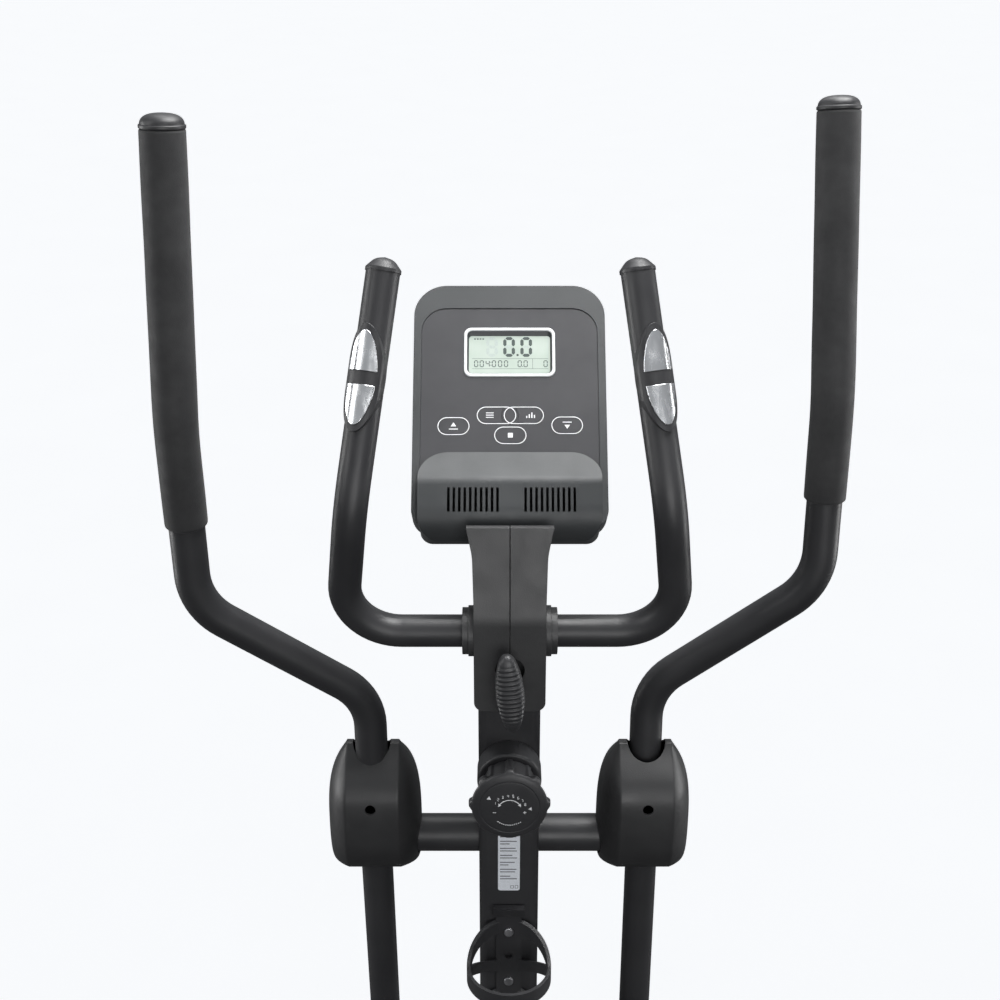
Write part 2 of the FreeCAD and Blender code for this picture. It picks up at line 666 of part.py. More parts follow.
def pivot_cover_block(inset):
    """The faceted bulk of a pivot cover, made smaller by an inset for its inside."""
    top = 992 - inset
    panel = 26 - inset * 0.6
    half_width = 43.7 - inset
    half_depth = 46 - inset
    front = [(panel, top), (half_width, 950), (40 - inset, 858 + inset), (0, 852 + inset),
             (inset - 40, 858 + inset), (-half_width, 950), (-panel, top)]
    side = symmetric([(10, top), (37 - inset, 978 - inset), (half_depth, 948), (half_depth, 884),
                      (30 - inset, 850 + inset)])
    plan = symmetric([(panel, half_depth + 1), (half_width + 1, 24 - inset * 0.5),
                      (half_width + 1, inset * 0.5 - 24), (panel, -half_depth - 1)])
    centre_x = ARM_X - 1
    front = [(centre_x + x, z) for x, z in front]
    side = [(MAST_Y + y, z) for y, z in side]
    plan = [(centre_x + x, MAST_Y + y) for x, y in plan]
    front_solid = front_prism(front, [8, 70, 14, 90, 14, 70, 8], (MAST_Y - 60, MAST_Y + 60))
    side_solid = side_prism(side, [6, 26, 26, 30, 18, 18, 30, 26, 26, 6], (70, 200))
    plan_solid = plan_prism(plan, 3, (830, 1020))
    return front_solid.common(side_solid).common(plan_solid)


def pivot_cover():
    """User-side and front half shells over the swing pivot, split in the plane of the arm."""
    hollow = pivot_cover_block(0).cut(pivot_cover_block(3))
    handle_hole = rod(Vector(ARM_X, MAST_Y, 950), Vector(ARM_X, MAST_Y, 1030), ARM_RADIUS + 3)
    centre = Vector(ARM_X, MAST_Y, SWING_Z)
    arm_hole = rod(centre + arm_direction() * 20, centre + arm_direction() * 60, ARM_RADIUS + 2)
    tube_hole = rod_x((80, 113), MAST_Y, SWING_Z, CROSS_TUBE_RADIUS + 1.5)
    screw_hole = rod_y(ARM_X, (MAST_Y - 60, MAST_Y - 30), SWING_Z + 60, 5)
    shell = hollow.cut([handle_hole, arm_hole, tube_hole, screw_hole])
    user_half = shell.common(box((70, 200), (MAST_Y - 60, MAST_Y - 0.2), (820, 1030)))
    front_half = shell.common(box((70, 200), (MAST_Y + 0.2, MAST_Y + 60), (820, 1030)))
    return [user_half, front_half]


# ---------------------------------------------------------------- pedal bars and pedals

def pedal_bar():
    """Rectangular bar from the arm pin to the crank pin, its pedal plate and crank pin."""
    length = BAR_LENGTH
    front_boss = rod_x(BAR_X, 0, 0, BAR_BOSS_RADIUS)
    rear_boss = rod_x((BAR_X[0] - 4, BAR_X[1] + 4), -length, 0, BAR_BOSS_RADIUS + 1)
    bar = box(BAR_X, (-length, 0), (-BAR_HALF_HEIGHT, BAR_HALF_HEIGHT))
    plate = box((BAR_X[0], 205), (PEDAL_FRONT - 270, PEDAL_FRONT - 90), (BAR_HALF_HEIGHT - 1, BAR_HALF_HEIGHT + 5))
    gusset = side_prism([(PEDAL_FRONT - 182, BAR_HALF_HEIGHT), (PEDAL_FRONT - 178, BAR_HALF_HEIGHT),
                         (PEDAL_FRONT - 178, -BAR_HALF_HEIGHT + 4), (PEDAL_FRONT - 182, -BAR_HALF_HEIGHT + 4)],
                        0, (BAR_X[1] - 1, 185))
    gusset = gusset.cut(rod_y(190, (PEDAL_FRONT - 190, PEDAL_FRONT - 170), -26, 45))
    hollow = box((BAR_X[0] + 2.5, BAR_X[1] - 2.5), (-length + 28, -28),
                 (-BAR_HALF_HEIGHT + 2.5, BAR_HALF_HEIGHT - 2.5))
    pin_bore = rod_x((BAR_X[0] - 1, BAR_X[1] + 1), 0, 0, PIN_RADIUS + RUNNING_FIT)
    crank_bore = rod_x((BAR_X[0] - 5, BAR_X[1] + 5), -length, 0, PIN_RADIUS)
    body = joined([bar, front_boss, rear_boss, plate, gusset]).cut([hollow, pin_bore, crank_bore])
    pin = rod_x((BAR_X[0] - 4, BAR_X[1] + 4), -length, 0, PIN_RADIUS)
    pin_cap = rod_x((BAR_X[1] + 4, BAR_X[1] + 10), -length, 0, 17)
    return [body, joined([pin, pin_cap])]


def pedal():
    """Foot plate with raised walls, higher at the toe, and ribs across the tread."""
    rear = PEDAL_FRONT - PEDAL_LENGTH
    floor_z = BAR_HALF_HEIGHT + 5
    outline = [(PEDAL_X[0], rear), (PEDAL_X[1], rear), (PEDAL_X[1], PEDAL_FRONT), (PEDAL_X[0], PEDAL_FRONT)]
    radii = [28, 28, 44, 30]
    block = plan_prism(outline, radii, (floor_z, floor_z + 70))
    wall = 5
    inner = [(PEDAL_X[0] + wall, rear + wall), (PEDAL_X[1] - wall, rear + wall),
             (PEDAL_X[1] - wall, PEDAL_FRONT - wall), (PEDAL_X[0] + wall, PEDAL_FRONT - wall)]
    tray = plan_prism(inner, [radius - wall for radius in radii], (floor_z + 6, floor_z + 80))
    profile = side_prism([(rear - 1, floor_z - 1), (PEDAL_FRONT + 1, floor_z - 1), (PEDAL_FRONT + 1, floor_z + 58),
                          (PEDAL_FRONT - 110, floor_z + 46), (PEDAL_FRONT - 230, floor_z + 20),
                          (rear - 1, floor_z + 18)], [0, 0, 14, 60, 60, 0], (60, 240))
    shell = block.cut(tray).common(profile)
    ribs = []
    for step in range(9):
        y = rear + 45 + 34 * step
        ribs.append(box((PEDAL_X[0] + 18, PEDAL_X[1] - 18), (y, y + 12), (floor_z + 5, floor_z + 9)))
    return joined([shell] + ribs)


# ---------------------------------------------------------------- crank and flywheel drive

def crank():
    """Crank axle and its two opposite arms."""
    pieces = [rod_x((-71, 71), CRANK_Y, CRANK_Z, CRANK_AXLE_RADIUS)]
    for _, side in SIDES:
        pin = crank_pin(side)
        x_range = (61, 71)
        bar = wrap_solid((CRANK_Y, CRANK_Z), 20, pin, 16, x_range)
        stud = rod_x((70, 75), pin[0], pin[1], 11)
        pieces.append(on_side(joined([bar, stud]), side))
    return joined(pieces)


def crank_disc(side):
    """Round cover disc outside a crank arm, hollow behind, with a boss over the pin."""
    near_x, far_x = DISC_X
    outline = [(near_x, DISC_RADIUS - 3), (near_x, DISC_RADIUS), (near_x + 9, DISC_RADIUS),
               (far_x, DISC_RADIUS - 26), (far_x, 0), (far_x - 3, 0), (far_x - 3, DISC_RADIUS - 27),
               (near_x + 8, DISC_RADIUS - 3)]
    disc = ring_sweep(outline, [0, 0, 5, 30, 0, 0, 28, 4], CRANK_Y, CRANK_Z)
    pin_y, pin_z = crank_pin(side)
    boss = rod_x((far_x - 1, far_x + 2), pin_y, pin_z, 18)
    return on_side(joined([disc, boss]), side)


def crank_pulley():
    """Large belt pulley on the crank axle, with lightening holes."""
    centre = (CRANK_Y, CRANK_Z)
    near_x, far_x = PULLEY_X
    outline = [(near_x, CRANK_AXLE_RADIUS), (far_x, CRANK_AXLE_RADIUS), (far_x, 26), (far_x - 4, 26),
               (far_x - 4, 118), (far_x, 118), (far_x, CRANK_PULLEY_RADIUS + 3), (far_x - 1.5, CRANK_PULLEY_RADIUS + 3),
               (far_x - 1.5, CRANK_PULLEY_RADIUS), (near_x + 1.5, CRANK_PULLEY_RADIUS),
               (near_x + 1.5, CRANK_PULLEY_RADIUS + 3), (near_x, CRANK_PULLEY_RADIUS + 3)]
    wheel = ring_sweep(outline, 0, *centre)
    holes = []
    for step in range(6):
        angle = math.radians(60 * step)
        holes.append(rod_x((near_x - 1, far_x + 1), centre[0] + 72 * math.cos(angle),
                           centre[1] + 72 * math.sin(angle), 24))
    return wheel.cut(holes)


def crank_bearings():
    """The two ball bearings in the crank shell."""
    bearings = []
    for span in ((-38, -26), (-4, 8)):
        bearings.append(sleeve_x(span, CRANK_Y, CRANK_Z, 21, CRANK_AXLE_RADIUS + RUNNING_FIT))
    return bearings


def flywheel():
    """Heavy disc with a raised rim, and the small belt pulley on its hub."""
    near_x, far_x = FLYWHEEL_X
    bore = FLYWHEEL_AXLE_RADIUS + RUNNING_FIT
    outline = [(near_x, 92), (near_x, FLYWHEEL_RADIUS), (far_x, FLYWHEEL_RADIUS), (far_x, 92),
               (far_x - 7, 88), (far_x - 7, 26), (far_x, 26), (far_x, bore), (near_x, bore), (near_x, 26),
               (near_x + 7, 26), (near_x + 7, 88)]
    disc = ring_sweep(outline, [1, 2, 2, 1, 3, 3, 0, 0, 0, 0, 3, 3], FLYWHEEL_Y, FLYWHEEL_Z)
    groove = FLYWHEEL_PULLEY_RADIUS
    pulley_outline = [(far_x, bore), (PULLEY_X[1], bore), (PULLEY_X[1], groove + 3), (PULLEY_X[1] - 1.5, groove + 3),
                      (PULLEY_X[1] - 1.5, groove), (PULLEY_X[0] + 1.5, groove), (PULLEY_X[0] + 1.5, groove + 3),
                      (PULLEY_X[0], groove + 3), (PULLEY_X[0], 14), (far_x, 14)]
    pulley = ring_sweep(pulley_outline, 0, FLYWHEEL_Y, FLYWHEEL_Z)
    return [disc, pulley]


def flywheel_axle():
    """Fixed flywheel axle with a nut outside each fork plate."""
    axle = rod_x((-50, 44), FLYWHEEL_Y, FLYWHEEL_Z, FLYWHEEL_AXLE_RADIUS)
    left_nut = rod_x((-48, -42), FLYWHEEL_Y, FLYWHEEL_Z, 11)
    right_nut = rod_x((36, 42), FLYWHEEL_Y, FLYWHEEL_Z, 11)
    return joined([axle, left_nut, right_nut])


def drive_belt():
    """Flat belt round the crank pulley and the flywheel pulley."""
    crank_centre = (CRANK_Y, CRANK_Z)
    fly_centre = (FLYWHEEL_Y, FLYWHEEL_Z)
    span = (PULLEY_X[0] + 2.5, PULLEY_X[1] - 2.5)
    outer = wrap_solid(crank_centre, CRANK_PULLEY_RADIUS + 2.4, fly_centre, FLYWHEEL_PULLEY_RADIUS + 2.4, span)
    inner = wrap_solid(crank_centre, CRANK_PULLEY_RADIUS + 0.4, fly_centre, FLYWHEEL_PULLEY_RADIUS + 0.4, span)
    return outer.cut(inner)


def brake_pivot():
    """The (y, z) of the pin that the brake bracket swings on."""
    angle = math.radians(82)
    return FLYWHEEL_Y + 128 * math.cos(angle), FLYWHEEL_Z + 128 * math.sin(angle)


def magnet_bracket():
    """Curved bracket with magnets beside the flywheel rim, opened to the lowest tension."""
    span = (FLYWHEEL_X[0] - 2, FLYWHEEL_X[1] + 2)
    sector = side_prism([(FLYWHEEL_Y, FLYWHEEL_Z), (FLYWHEEL_Y + 220, FLYWHEEL_Z),
                         (FLYWHEEL_Y + 220, FLYWHEEL_Z + 220), (FLYWHEEL_Y + 18, FLYWHEEL_Z + 220)], 0, span)
    plate = sleeve_x(span, FLYWHEEL_Y, FLYWHEEL_Z, FLYWHEEL_RADIUS + 9, FLYWHEEL_RADIUS + 5).common(sector)
    pivot_y, pivot_z = brake_pivot()
    eye = rod_x(span, pivot_y, pivot_z, 8)
    bracket = joined([plate, eye]).cut(rod_x(span, pivot_y, pivot_z, 4 + RUNNING_FIT))
    ring = sleeve_x((span[0] + 4, span[1] - 4), FLYWHEEL_Y, FLYWHEEL_Z, FLYWHEEL_RADIUS + 5, FLYWHEEL_RADIUS + 2)
    solids = [bracket]
    for start in (4, 28, 52):
        slot = [(FLYWHEEL_Y, FLYWHEEL_Z)]
        for angle in (start, start + 16):
            slot.append((FLYWHEEL_Y + 160 * math.cos(math.radians(angle)),
                         FLYWHEEL_Z + 160 * math.sin(math.radians(angle))))
        solids.append(ring.common(side_prism(slot, 0, span)))
    pivot = Vector(0, pivot_y, pivot_z)
    return [turned(solid, pivot, X_AXIS, BRAKE_OPEN_ANGLE) for solid in solids]


# ---------------------------------------------------------------- housing

def housing_block(inset):
    """The pear-shaped bulk of the drive housing on the right side, made smaller by an inset."""
    block = wrap_solid((CRANK_Y, CRANK_Z), HOUSING_REAR_RADIUS - inset, (FLYWHEEL_Y, FLYWHEEL_Z),
                       HOUSING_FRONT_RADIUS - inset, (0, HOUSING_HALF_WIDTH - inset))
    outer_face = max(block.Faces, key=lambda face: face.CenterOfMass.x)
    return block.makeFillet(14 - inset, outer_face.Edges)


def housing_screw_places():
    """The (y, z) of the screws that hold each housing shell."""
    places = []
    for centre, radius, angles in (((CRANK_Y, CRANK_Z), HOUSING_REAR_RADIUS - 16, (100, 170, 235)),
                                   ((FLYWHEEL_Y, FLYWHEEL_Z), HOUSING_FRONT_RADIUS - 18, (-50, 30, 75))):
        for angle in angles:
            places.append((centre[0] + radius * math.cos(math.radians(angle)),
                           centre[1] + radius * math.sin(math.radians(angle))))
    return places


def housing_shell(side):
    """One half of the drive housing, cut for the crank axle and the floor beam."""
    shell = housing_block(0).cut(housing_block(HOUSING_WALL))
    shell = shell.common(box((0.1, 100), (-600, 100), (60, 600)))
    axle_hole = rod_x((0, 100), CRANK_Y, CRANK_Z, CRANK_AXLE_RADIUS + 3)
    reach = BEAM_HALF_WIDTH + 1
    beam_notch = box((-1, reach), (-600, 100), (50, BEAM_TOP + 1))
    screws = [rod_x((40, 70), y, z, 2) for y, z in housing_screw_places()]
    return on_side(shell.cut([axle_hole, beam_notch] + screws), side)


def housing_screws():
    """Screws round the edge of both housing shells."""
    screws = []
    for y, z in housing_screw_places():
        shank = rod_x((44, HOUSING_HALF_WIDTH), y, z, 2)
        head = rod_x((HOUSING_HALF_WIDTH, HOUSING_HALF_WIDTH + 2), y, z, 4.5)
        screws += both_sides(joined([shank, head]))
    return screws


# ---------------------------------------------------------------- fixed handlebar

def handlebar_points():
    """Half of the handlebar centreline, from the middle of the clamp to the right-hand end."""
    return [Vector(0, BAR_AXIS_Y, BAR_AXIS_Z), Vector(154.6, BAR_AXIS_Y, BAR_AXIS_Z),
            Vector(139, MAST_Y - 79, 1277), Vector(110, MAST_Y + 1, 1466)]


def handlebar():
    """The U-shaped fixed handlebar."""
    right = handlebar_points()
    left = [Vector(-point.x, point.y, point.z) for point in reversed(right[1:])]
    radii = [0, 100, 50, 50, 100, 0]
    return bent_tube(left + right[1:], radii, HANDLEBAR_RADIUS, HANDLEBAR_RADIUS - 1.6)


def handlebar_end_cap():
    """Domed cap on a handlebar end."""
    points = handlebar_points()
    return domed_cap(points[-1], points[-1] - points[-2], HANDLEBAR_RADIUS + 0.8, HANDLEBAR_RADIUS - 1.6)


def sensor_frame():
    """Middle, bar direction and outward direction of the right-hand pulse sensor."""
    low, high = handlebar_points()[-2:]
    along = (high - low).normalize()
    middle = low + (high - low) * 0.55
    outward = Vector(0.35, -0.9, 0.0)
    outward = (outward - along * outward.dot(along)).normalize()
    return middle, along, outward


def sensor_sleeve(outer, inner, half_length, half_width):
    """An oval piece of sleeve on the user side of the bar."""
    middle, along, outward = sensor_frame()
    start = middle - along * (half_length + 5)
    end = middle + along * (half_length + 5)
    sleeve = rod(start, end, outer).cut(rod(start, end, inner))
    across = along.cross(outward).normalize()
    oval = Part.Ellipse(middle + along * half_length, middle + across * half_width, middle)
    return sleeve.common(Part.Face(Part.Wire([oval.toShape()])).extrude(outward * 40))


def sensor_housing():
    """Oval plastic shell with pockets for two contact plates."""
    shell = sensor_sleeve(HANDLEBAR_RADIUS + 3.2, HANDLEBAR_RADIUS, 47, 17)
    return shell.cut(sensor_plates(RUNNING_FIT * 2))


def sensor_plates(grow=0.0):
    """The two contact plates of a pulse sensor, one each side of the middle band."""
    middle, along, _ = sensor_frame()
    oval = sensor_sleeve(HANDLEBAR_RADIUS + 3.8, HANDLEBAR_RADIUS + 1.6 - grow, 41 + grow, 13.5 + grow)
    band = rod(middle - along * (6 - grow), middle + along * (6 - grow), 40)
    return [solid for solid in oval.cut(band).Solids]


def handlebar_saddle():
    """Clamp on the mast: a rear half with ears on the mast, and a front half."""
    reach = 28
    ring = rod_x((-reach, reach), BAR_AXIS_Y, BAR_AXIS_Z, 20)
    rear_block = box((-reach, reach), (BAR_AXIS_Y, MAST_FACE_Y), (CLAMP_BOLT_Z - 14, BAR_AXIS_Z + 20))
    front_ear = box((-16, 16), (BAR_AXIS_Y - 12, BAR_AXIS_Y), (CLAMP_BOLT_Z - 12, BAR_AXIS_Z))
    bore = rod_x((-reach - 1, reach + 1), BAR_AXIS_Y, BAR_AXIS_Z, HANDLEBAR_RADIUS + CLEARANCE)
    bolt_hole = rod_y(0, (BAR_AXIS_Y - 30, MAST_FACE_Y), CLAMP_BOLT_Z, 5 + CLEARANCE)
    whole = ring.fuse([rear_block, front_ear]).cut([bore, bolt_hole])
    rear = whole.common(box((-40, 40), (BAR_AXIS_Y + 1, MAST_FACE_Y), (1000, 1200)))
    front = whole.common(box((-40, 40), (BAR_AXIS_Y - 60, BAR_AXIS_Y - 1), (1000, 1200)))
    return [rear, front]


def clamp_knob():
    """Ribbed tapered T-shaped knob on its clamping bolt."""
    back_y = COVER_FACE_Y - 8
    middle_y = back_y - 13
    bolt = rod_y(0, (back_y, MAST_FACE_Y - 1), CLAMP_BOLT_Z, 5)
    collar = rod_y(0, (back_y - 4, back_y + 4), CLAMP_BOLT_Z, 9)
    outline = symmetric([(4, 38), (13.8, 12), (13.8, -15), (5, -42)])
    outline = [(x, CLAMP_BOLT_Z + z) for x, z in outline]
    body = front_prism(outline, [3.5, 26, 26, 4, 4, 26, 26, 3.5], (middle_y - 11, middle_y + 11))
    body = body.makeFillet(3, [edge for edge in body.Edges if edge.Length > 5 and is_rim(edge, middle_y, 11)])
    ribs = []
    for step in range(11):
        z = CLAMP_BOLT_Z - 31 + 5.6 * step
        ribs.append(box((-20, 20), (middle_y - 12, middle_y - 9.2), (z - 1.2, z + 1.2)))
    pod = body.cut(ribs)
    pod = turned(pod, Vector(0, 0, CLAMP_BOLT_Z), Vector(0, 1, 0), -5)
    return joined([pod, bolt, collar])


def is_rim(edge, middle_y, half_depth):
    """Whether an edge lies in the front or back face of the knob."""
    offsets = [abs(abs(vertex.Y - middle_y) - half_depth) for vertex in edge.Vertexes]
    return max(offsets) < 1e-3


# ---------------------------------------------------------------- mast head covers

def to_console(shape):
    """A shape from the console's own frame, put in place on the mast head."""
    placed = shape.copy()
    placed.Placement = FreeCAD.Placement(CONSOLE_ORIGIN, FreeCAD.Rotation(X_AXIS, 90 - CONSOLE_LEAN))
    return placed


def console_point(up, out):
    """The (y, z) of a point given up the console face and out of it."""
    point = FreeCAD.Rotation(X_AXIS, 90 - CONSOLE_LEAN).multVec(Vector(0, up, out)) + CONSOLE_ORIGIN
    return point.y, point.z


def head_block(inset):
    """The bulk of the mast head cover, made smaller by an inset."""
    low = COVER_BOTTOM
    lip_z = 1246 - 4 * inset
    side = [(COVER_FACE_Y + inset, low), (COVER_FACE_Y + inset, 1164), (MAST_Y - 50 + inset, lip_z),
            (MAST_Y - 44.5 - 0.6 * inset, lip_z), (MAST_Y - 38 - 0.6 * inset, 1224 - 1.6 * inset),
            (MAST_Y + 20, 1262 - 1.6 * inset), (MAST_Y + 92 - inset, 1290 - inset),
            (MAST_Y + 80 - inset, 1258), (MAST_Y + 37 - inset, 1180), (MAST_Y + 37 - inset, low)]
    body = side_prism(side, [0, 40, 0, 0, 0, 0, 4, 10, 30, 0], (-60, 60))
    wide = 40 - inset
    narrow = COVER_HALF_WIDTH - inset
    front = symmetric([(wide, 1300), (wide, 1248), (narrow + 1.2, 1221), (narrow, 1180), (narrow, low)])
    radii = [0, 0, 60, 80, 9]
    return body.common(front_prism(front, radii + radii[::-1], (MAST_Y - 100, MAST_Y + 140)))


def head_cover_halves():
    """Left and right halves of the mast head cover, with a collar round the handlebar each."""
    collar = rod_x((COVER_HALF_WIDTH - 4, 43.5), BAR_AXIS_Y, BAR_AXIS_Z, 21.7)
    neck = rod_x((COVER_HALF_WIDTH - 4, 38), BAR_AXIS_Y, BAR_AXIS_Z, 23.5)
    outer = head_block(0).fuse([collar, neck, mirrored(collar), mirrored(neck)])
    low = COVER_BOTTOM
    mouth = box((-COVER_HALF_WIDTH + COVER_WALL, COVER_HALF_WIDTH - COVER_WALL),
                (COVER_FACE_Y + COVER_WALL, MAST_Y + 37 - COVER_WALL), (low - 1, low + 14))
    shell = outer.cut([head_block(COVER_WALL), mouth])
    bar_hole = rod_x((-50, 50), BAR_AXIS_Y, BAR_AXIS_Z, HANDLEBAR_RADIUS + 0.6)
    knob_hole = rod_y(0, (COVER_FACE_Y - 5, COVER_FACE_Y + 12), CLAMP_BOLT_Z + 7, 13.5)
    shell = shell.cut([bar_hole, knob_hole, console_envelope()])
    halves = []
    for _, side in SIDES:
        half_space = box((0.3, 80), (MAST_Y - 100, MAST_Y + 140), (low - 1, 1310))
        halves.append(shell.common(on_side(half_space, side)))
    return halves


# ---------------------------------------------------------------- console

def console_plate(half_width, top, bottom, top_radius, bottom_radius, z_range):
    """A rounded slab in the console's own frame."""
    outline = [(half_width, bottom), (half_width, top), (-half_width, top), (-half_width, bottom)]
    return plan_prism(outline, [bottom_radius, top_radius, top_radius, bottom_radius], z_range)


def console_envelope():
    """The space that the console takes from the head cover, with a little to spare."""
    slab = console_plate(CONSOLE_HALF_WIDTH, CONSOLE_TOP, CONSOLE_BOTTOM - 1, 30, 20, (-CONSOLE_DEPTH - 1, 0))
    return to_console(slab.fuse(hood_block(-0.8)))


def hood_block(inset):
    """The bulk of the console hood; a negative inset makes it larger."""
    top = HOOD_TOP - inset
    bottom = HOOD_BOTTOM + inset
    profile = [(top, -3), (top, 0.2 - inset), (-130, 17.5 - inset), (bottom, 13 - inset),
               (bottom, -28 + inset), (CONSOLE_BOTTOM - 0.3, -28 + inset), (CONSOLE_BOTTOM - 0.3, -3)]
    half = HOOD_HALF_WIDTH - inset
    points = [Vector(-half, up, out) for up, out in profile]
    body = prism(points, [0, 0, 16, 30, 6, 0, 0], Vector(2 * half, 0, 0))
    outline = console_plate(half, top, bottom, 28, 16, (-60, 60))
    return body.common(outline)


def console_back_shell():
    """Back shell of the console with its front rim, open where the panel and hood sit."""
    block = console_plate(CONSOLE_HALF_WIDTH, CONSOLE_TOP, CONSOLE_BOTTOM, 31, 18, (-CONSOLE_DEPTH, 0))
    back_face = min(block.Faces, key=lambda face: face.CenterOfMass.z)
    block = block.makeFillet(12, back_face.Edges)
    inner_half = CONSOLE_HALF_WIDTH - CONSOLE_WALL
    cavity = console_plate(inner_half, CONSOLE_TOP - CONSOLE_WALL, CONSOLE_BOTTOM + CONSOLE_WALL, 28.5, 15.5,
                           (-CONSOLE_DEPTH + CONSOLE_WALL, -3))
    cavity_back = min(cavity.Faces, key=lambda face: face.CenterOfMass.z)
    cavity = cavity.makeFillet(10, cavity_back.Edges)
    panel_window = console_plate(83.2, 44.7, CONSOLE_BOTTOM - 5, 24, 1, (-3, 1))
    shell = block.cut([cavity, panel_window, hood_block(-0.2)])
    return to_console(shell)


BUTTONS = {                 # across range and up range on the console face
    "up_button": ((-67, -37.6), (-81.8, -64.8)),
    "mode_button": ((-30.5, 5.9), (-71, -54.3)),
    "program_button": ((-5.3, 31.7), (-71, -54.3)),
    "reset_button": ((-14.2, 15.4), (-90.6, -74)),
    "down_button": ((39, 68), (-80.8, -64.1)),
}
BUTTON_NEIGHBOUR = {"mode_button": "program_button", "program_button": "mode_button"}


def button_oval(name, grow, z_range):
    """The rounded outline of a button, larger or smaller than its printed line."""
    (x0, x1), (y0, y1) = BUTTONS[name]
    outline = rectangle((x0 - grow, x1 + grow), (y0 - grow, y1 + grow))
    radius = (y1 - y0) / 2 + grow - 0.01
    return plan_prism(outline, radius, z_range)


def button_key(name, grow, z_range):
    """A button's key; the two overlapping outlines leave a fixed lens between their keys."""
    key = button_oval(name, grow, z_range)
    if name in BUTTON_NEIGHBOUR:
        low, high = z_range
        key = key.cut(button_oval(BUTTON_NEIGHBOUR[name], 1.2 - grow, (low - 1, high + 1)))
    return key


def button(name):
    """A push button: a key through the panel and a flange behind it."""
    key = button_key(name, -1.2, (-4, -0.5))
    flange = button_key(name, -0.4, (-5, -3.4))
    return to_console(joined([key, flange]))


def console_front_panel():
    """Inset face panel with openings for the display and the buttons."""
    panel = console_plate(83, 44.5, HOOD_TOP - 33, 24, 1, (-3, -0.8))
    display = console_plate(43.3, 25, -25, 7, 7, (-4, 0))
    openings = [button_key(name, -0.8, (-4, 0)) for name in BUTTONS]
    return to_console(panel.cut([display, hood_block(-0.3)] + openings))


def lcd_bezel():
    """Bright frame round the display."""
    frame = console_plate(43, 24.7, -24.5, 7, 7, (-3.2, 0.6))
    window = console_plate(38.2, 20, -20, 3.5, 3.5, (-4, 2))
    return to_console(frame.cut(window))


def lcd_screen():
    """Display glass, set back behind its frame."""
    return to_console(console_plate(40, 21.5, -21.5, 2, 2, (-6, -3.3)))


def console_hood():
    """Raised lower part of the console with two groups of slots."""
    shell = hood_block(0).cut(hood_block(2.5))
    opening = console_plate(HOOD_HALF_WIDTH - 3, HOOD_TOP - 3, CONSOLE_BOTTOM + 3, 20, 4, (-6, -2))
    slots = []
    for first_x in (-57, 13):
        for step in range(10):
            x = first_x + 4.95 * step
            slots.append(box((x, x + 2.4), (-160, -138), (2, 30)))
    return to_console(shell.cut([opening] + slots))


def console_circuit_board():
    """Board behind the panel, with a key switch under each button."""
    board = box((-76, 76), (-92, 40), (-15, -13.4))
    display_block = box((-36, 36), (-18, 18), (-13.4, -6))
    switches = []
    for (x0, x1), (y0, y1) in BUTTONS.values():
        centre = Vector((x0 + x1) / 2, (y0 + y1) / 2, -13.4)
        switches.append(Part.makeCylinder(2.5, 6.5, centre))
    standoffs = []
    for x in (-70, 70):
        for y in (-80, 34):
            standoffs.append(Part.makeCylinder(3, CONSOLE_DEPTH - CONSOLE_WALL - 15,
                                               Vector(x, y, -CONSOLE_DEPTH + CONSOLE_WALL)))
    return to_console(joined([board, display_block] + switches + standoffs))


def console_bracket():
    """Steel plate behind the console on two cheeks that stand on the mast head."""
    plate = to_console(box((-30, 30), (-150, -92), (-CONSOLE_DEPTH - 4, -CONSOLE_DEPTH)))
    foot = box((-28, 28), (MAST_Y - 28, MAST_Y + 28), (MAST_TOP, MAST_TOP + 4))
    top, bottom = [console_point(up, -CONSOLE_DEPTH - 2) for up in (-95, -148)]
    outline = [(MAST_Y - 5, MAST_TOP + 2), (MAST_Y + 28, MAST_TOP + 2), top, bottom]
    cheeks = [side_prism(outline, 0, (x, x + 4)) for x in (-24, 20)]
    return joined([foot, plate] + cheeks)


# ---------------------------------------------------------------- tension control

def tension_control_housing():
    """Round collar on the mast behind the tension knob."""
    outline = [(MAST_FACE_Y, 0), (MAST_FACE_Y, 31), (MAST_FACE_Y - 25, 31), (MAST_FACE_Y - 25, 0)]
    collar = spool_y(outline, [0, 0, 3, 0], 0, TENSION_Z)
    spindle = rod_y(0, (MAST_FACE_Y - 45, MAST_FACE_Y - 20), TENSION_Z, 6)
    bore = rod_y(0, (MAST_FACE_Y - 12, MAST_FACE_Y + 1), TENSION_Z, 22)
    return joined([collar, spindle]).cut(bore)


def tension_knob():
    """Lobed knob: a ribbed barrel that flares to a wide rim with a domed face."""
    back = MAST_FACE_Y - 26
    outline = [(back, 0), (back, 27.5), (back - 15, 29), (back - 21, 38.5), (back - 28, 38.5), (back - 39, 34),
               (back - 41.5, 24), (back - 42, 0)]
    body = spool_y(outline, [0, 2, 6, 4, 8, 4, 0, 0], 0, TENSION_Z)
    scallops = []
    for step in range(6):
        angle = math.radians(60 * step)
        x = 38.5 * math.cos(angle)
        z = TENSION_Z + 38.5 * math.sin(angle)
        scallops.append(rod_y(x, (back - 14, back + 1), z, 14))
        rim_x = 66 * math.cos(angle + math.radians(30))
        rim_z = TENSION_Z + 66 * math.sin(angle + math.radians(30))
        scallops.append(rod_y(rim_x, (back - 50, back + 1), rim_z, 29.5))
    spindle_bore = rod_y(0, (back - 21, back + 1), TENSION_Z, 6 + RUNNING_FIT)
    return body.cut(scallops + [spindle_bore])


# ---------------------------------------------------------------- bottle cage

def cage_screw_places():
    """The heights of the two screws that hold the cage."""
    return (782.0, 718.0)


def cage_screw_holes():
    """Holes in mast and cage for the cage screws."""
    return [rod_y(0, (MAST_FACE_Y - 8, MAST_FACE_Y + 8), z, 2.5) for z in cage_screw_places()]


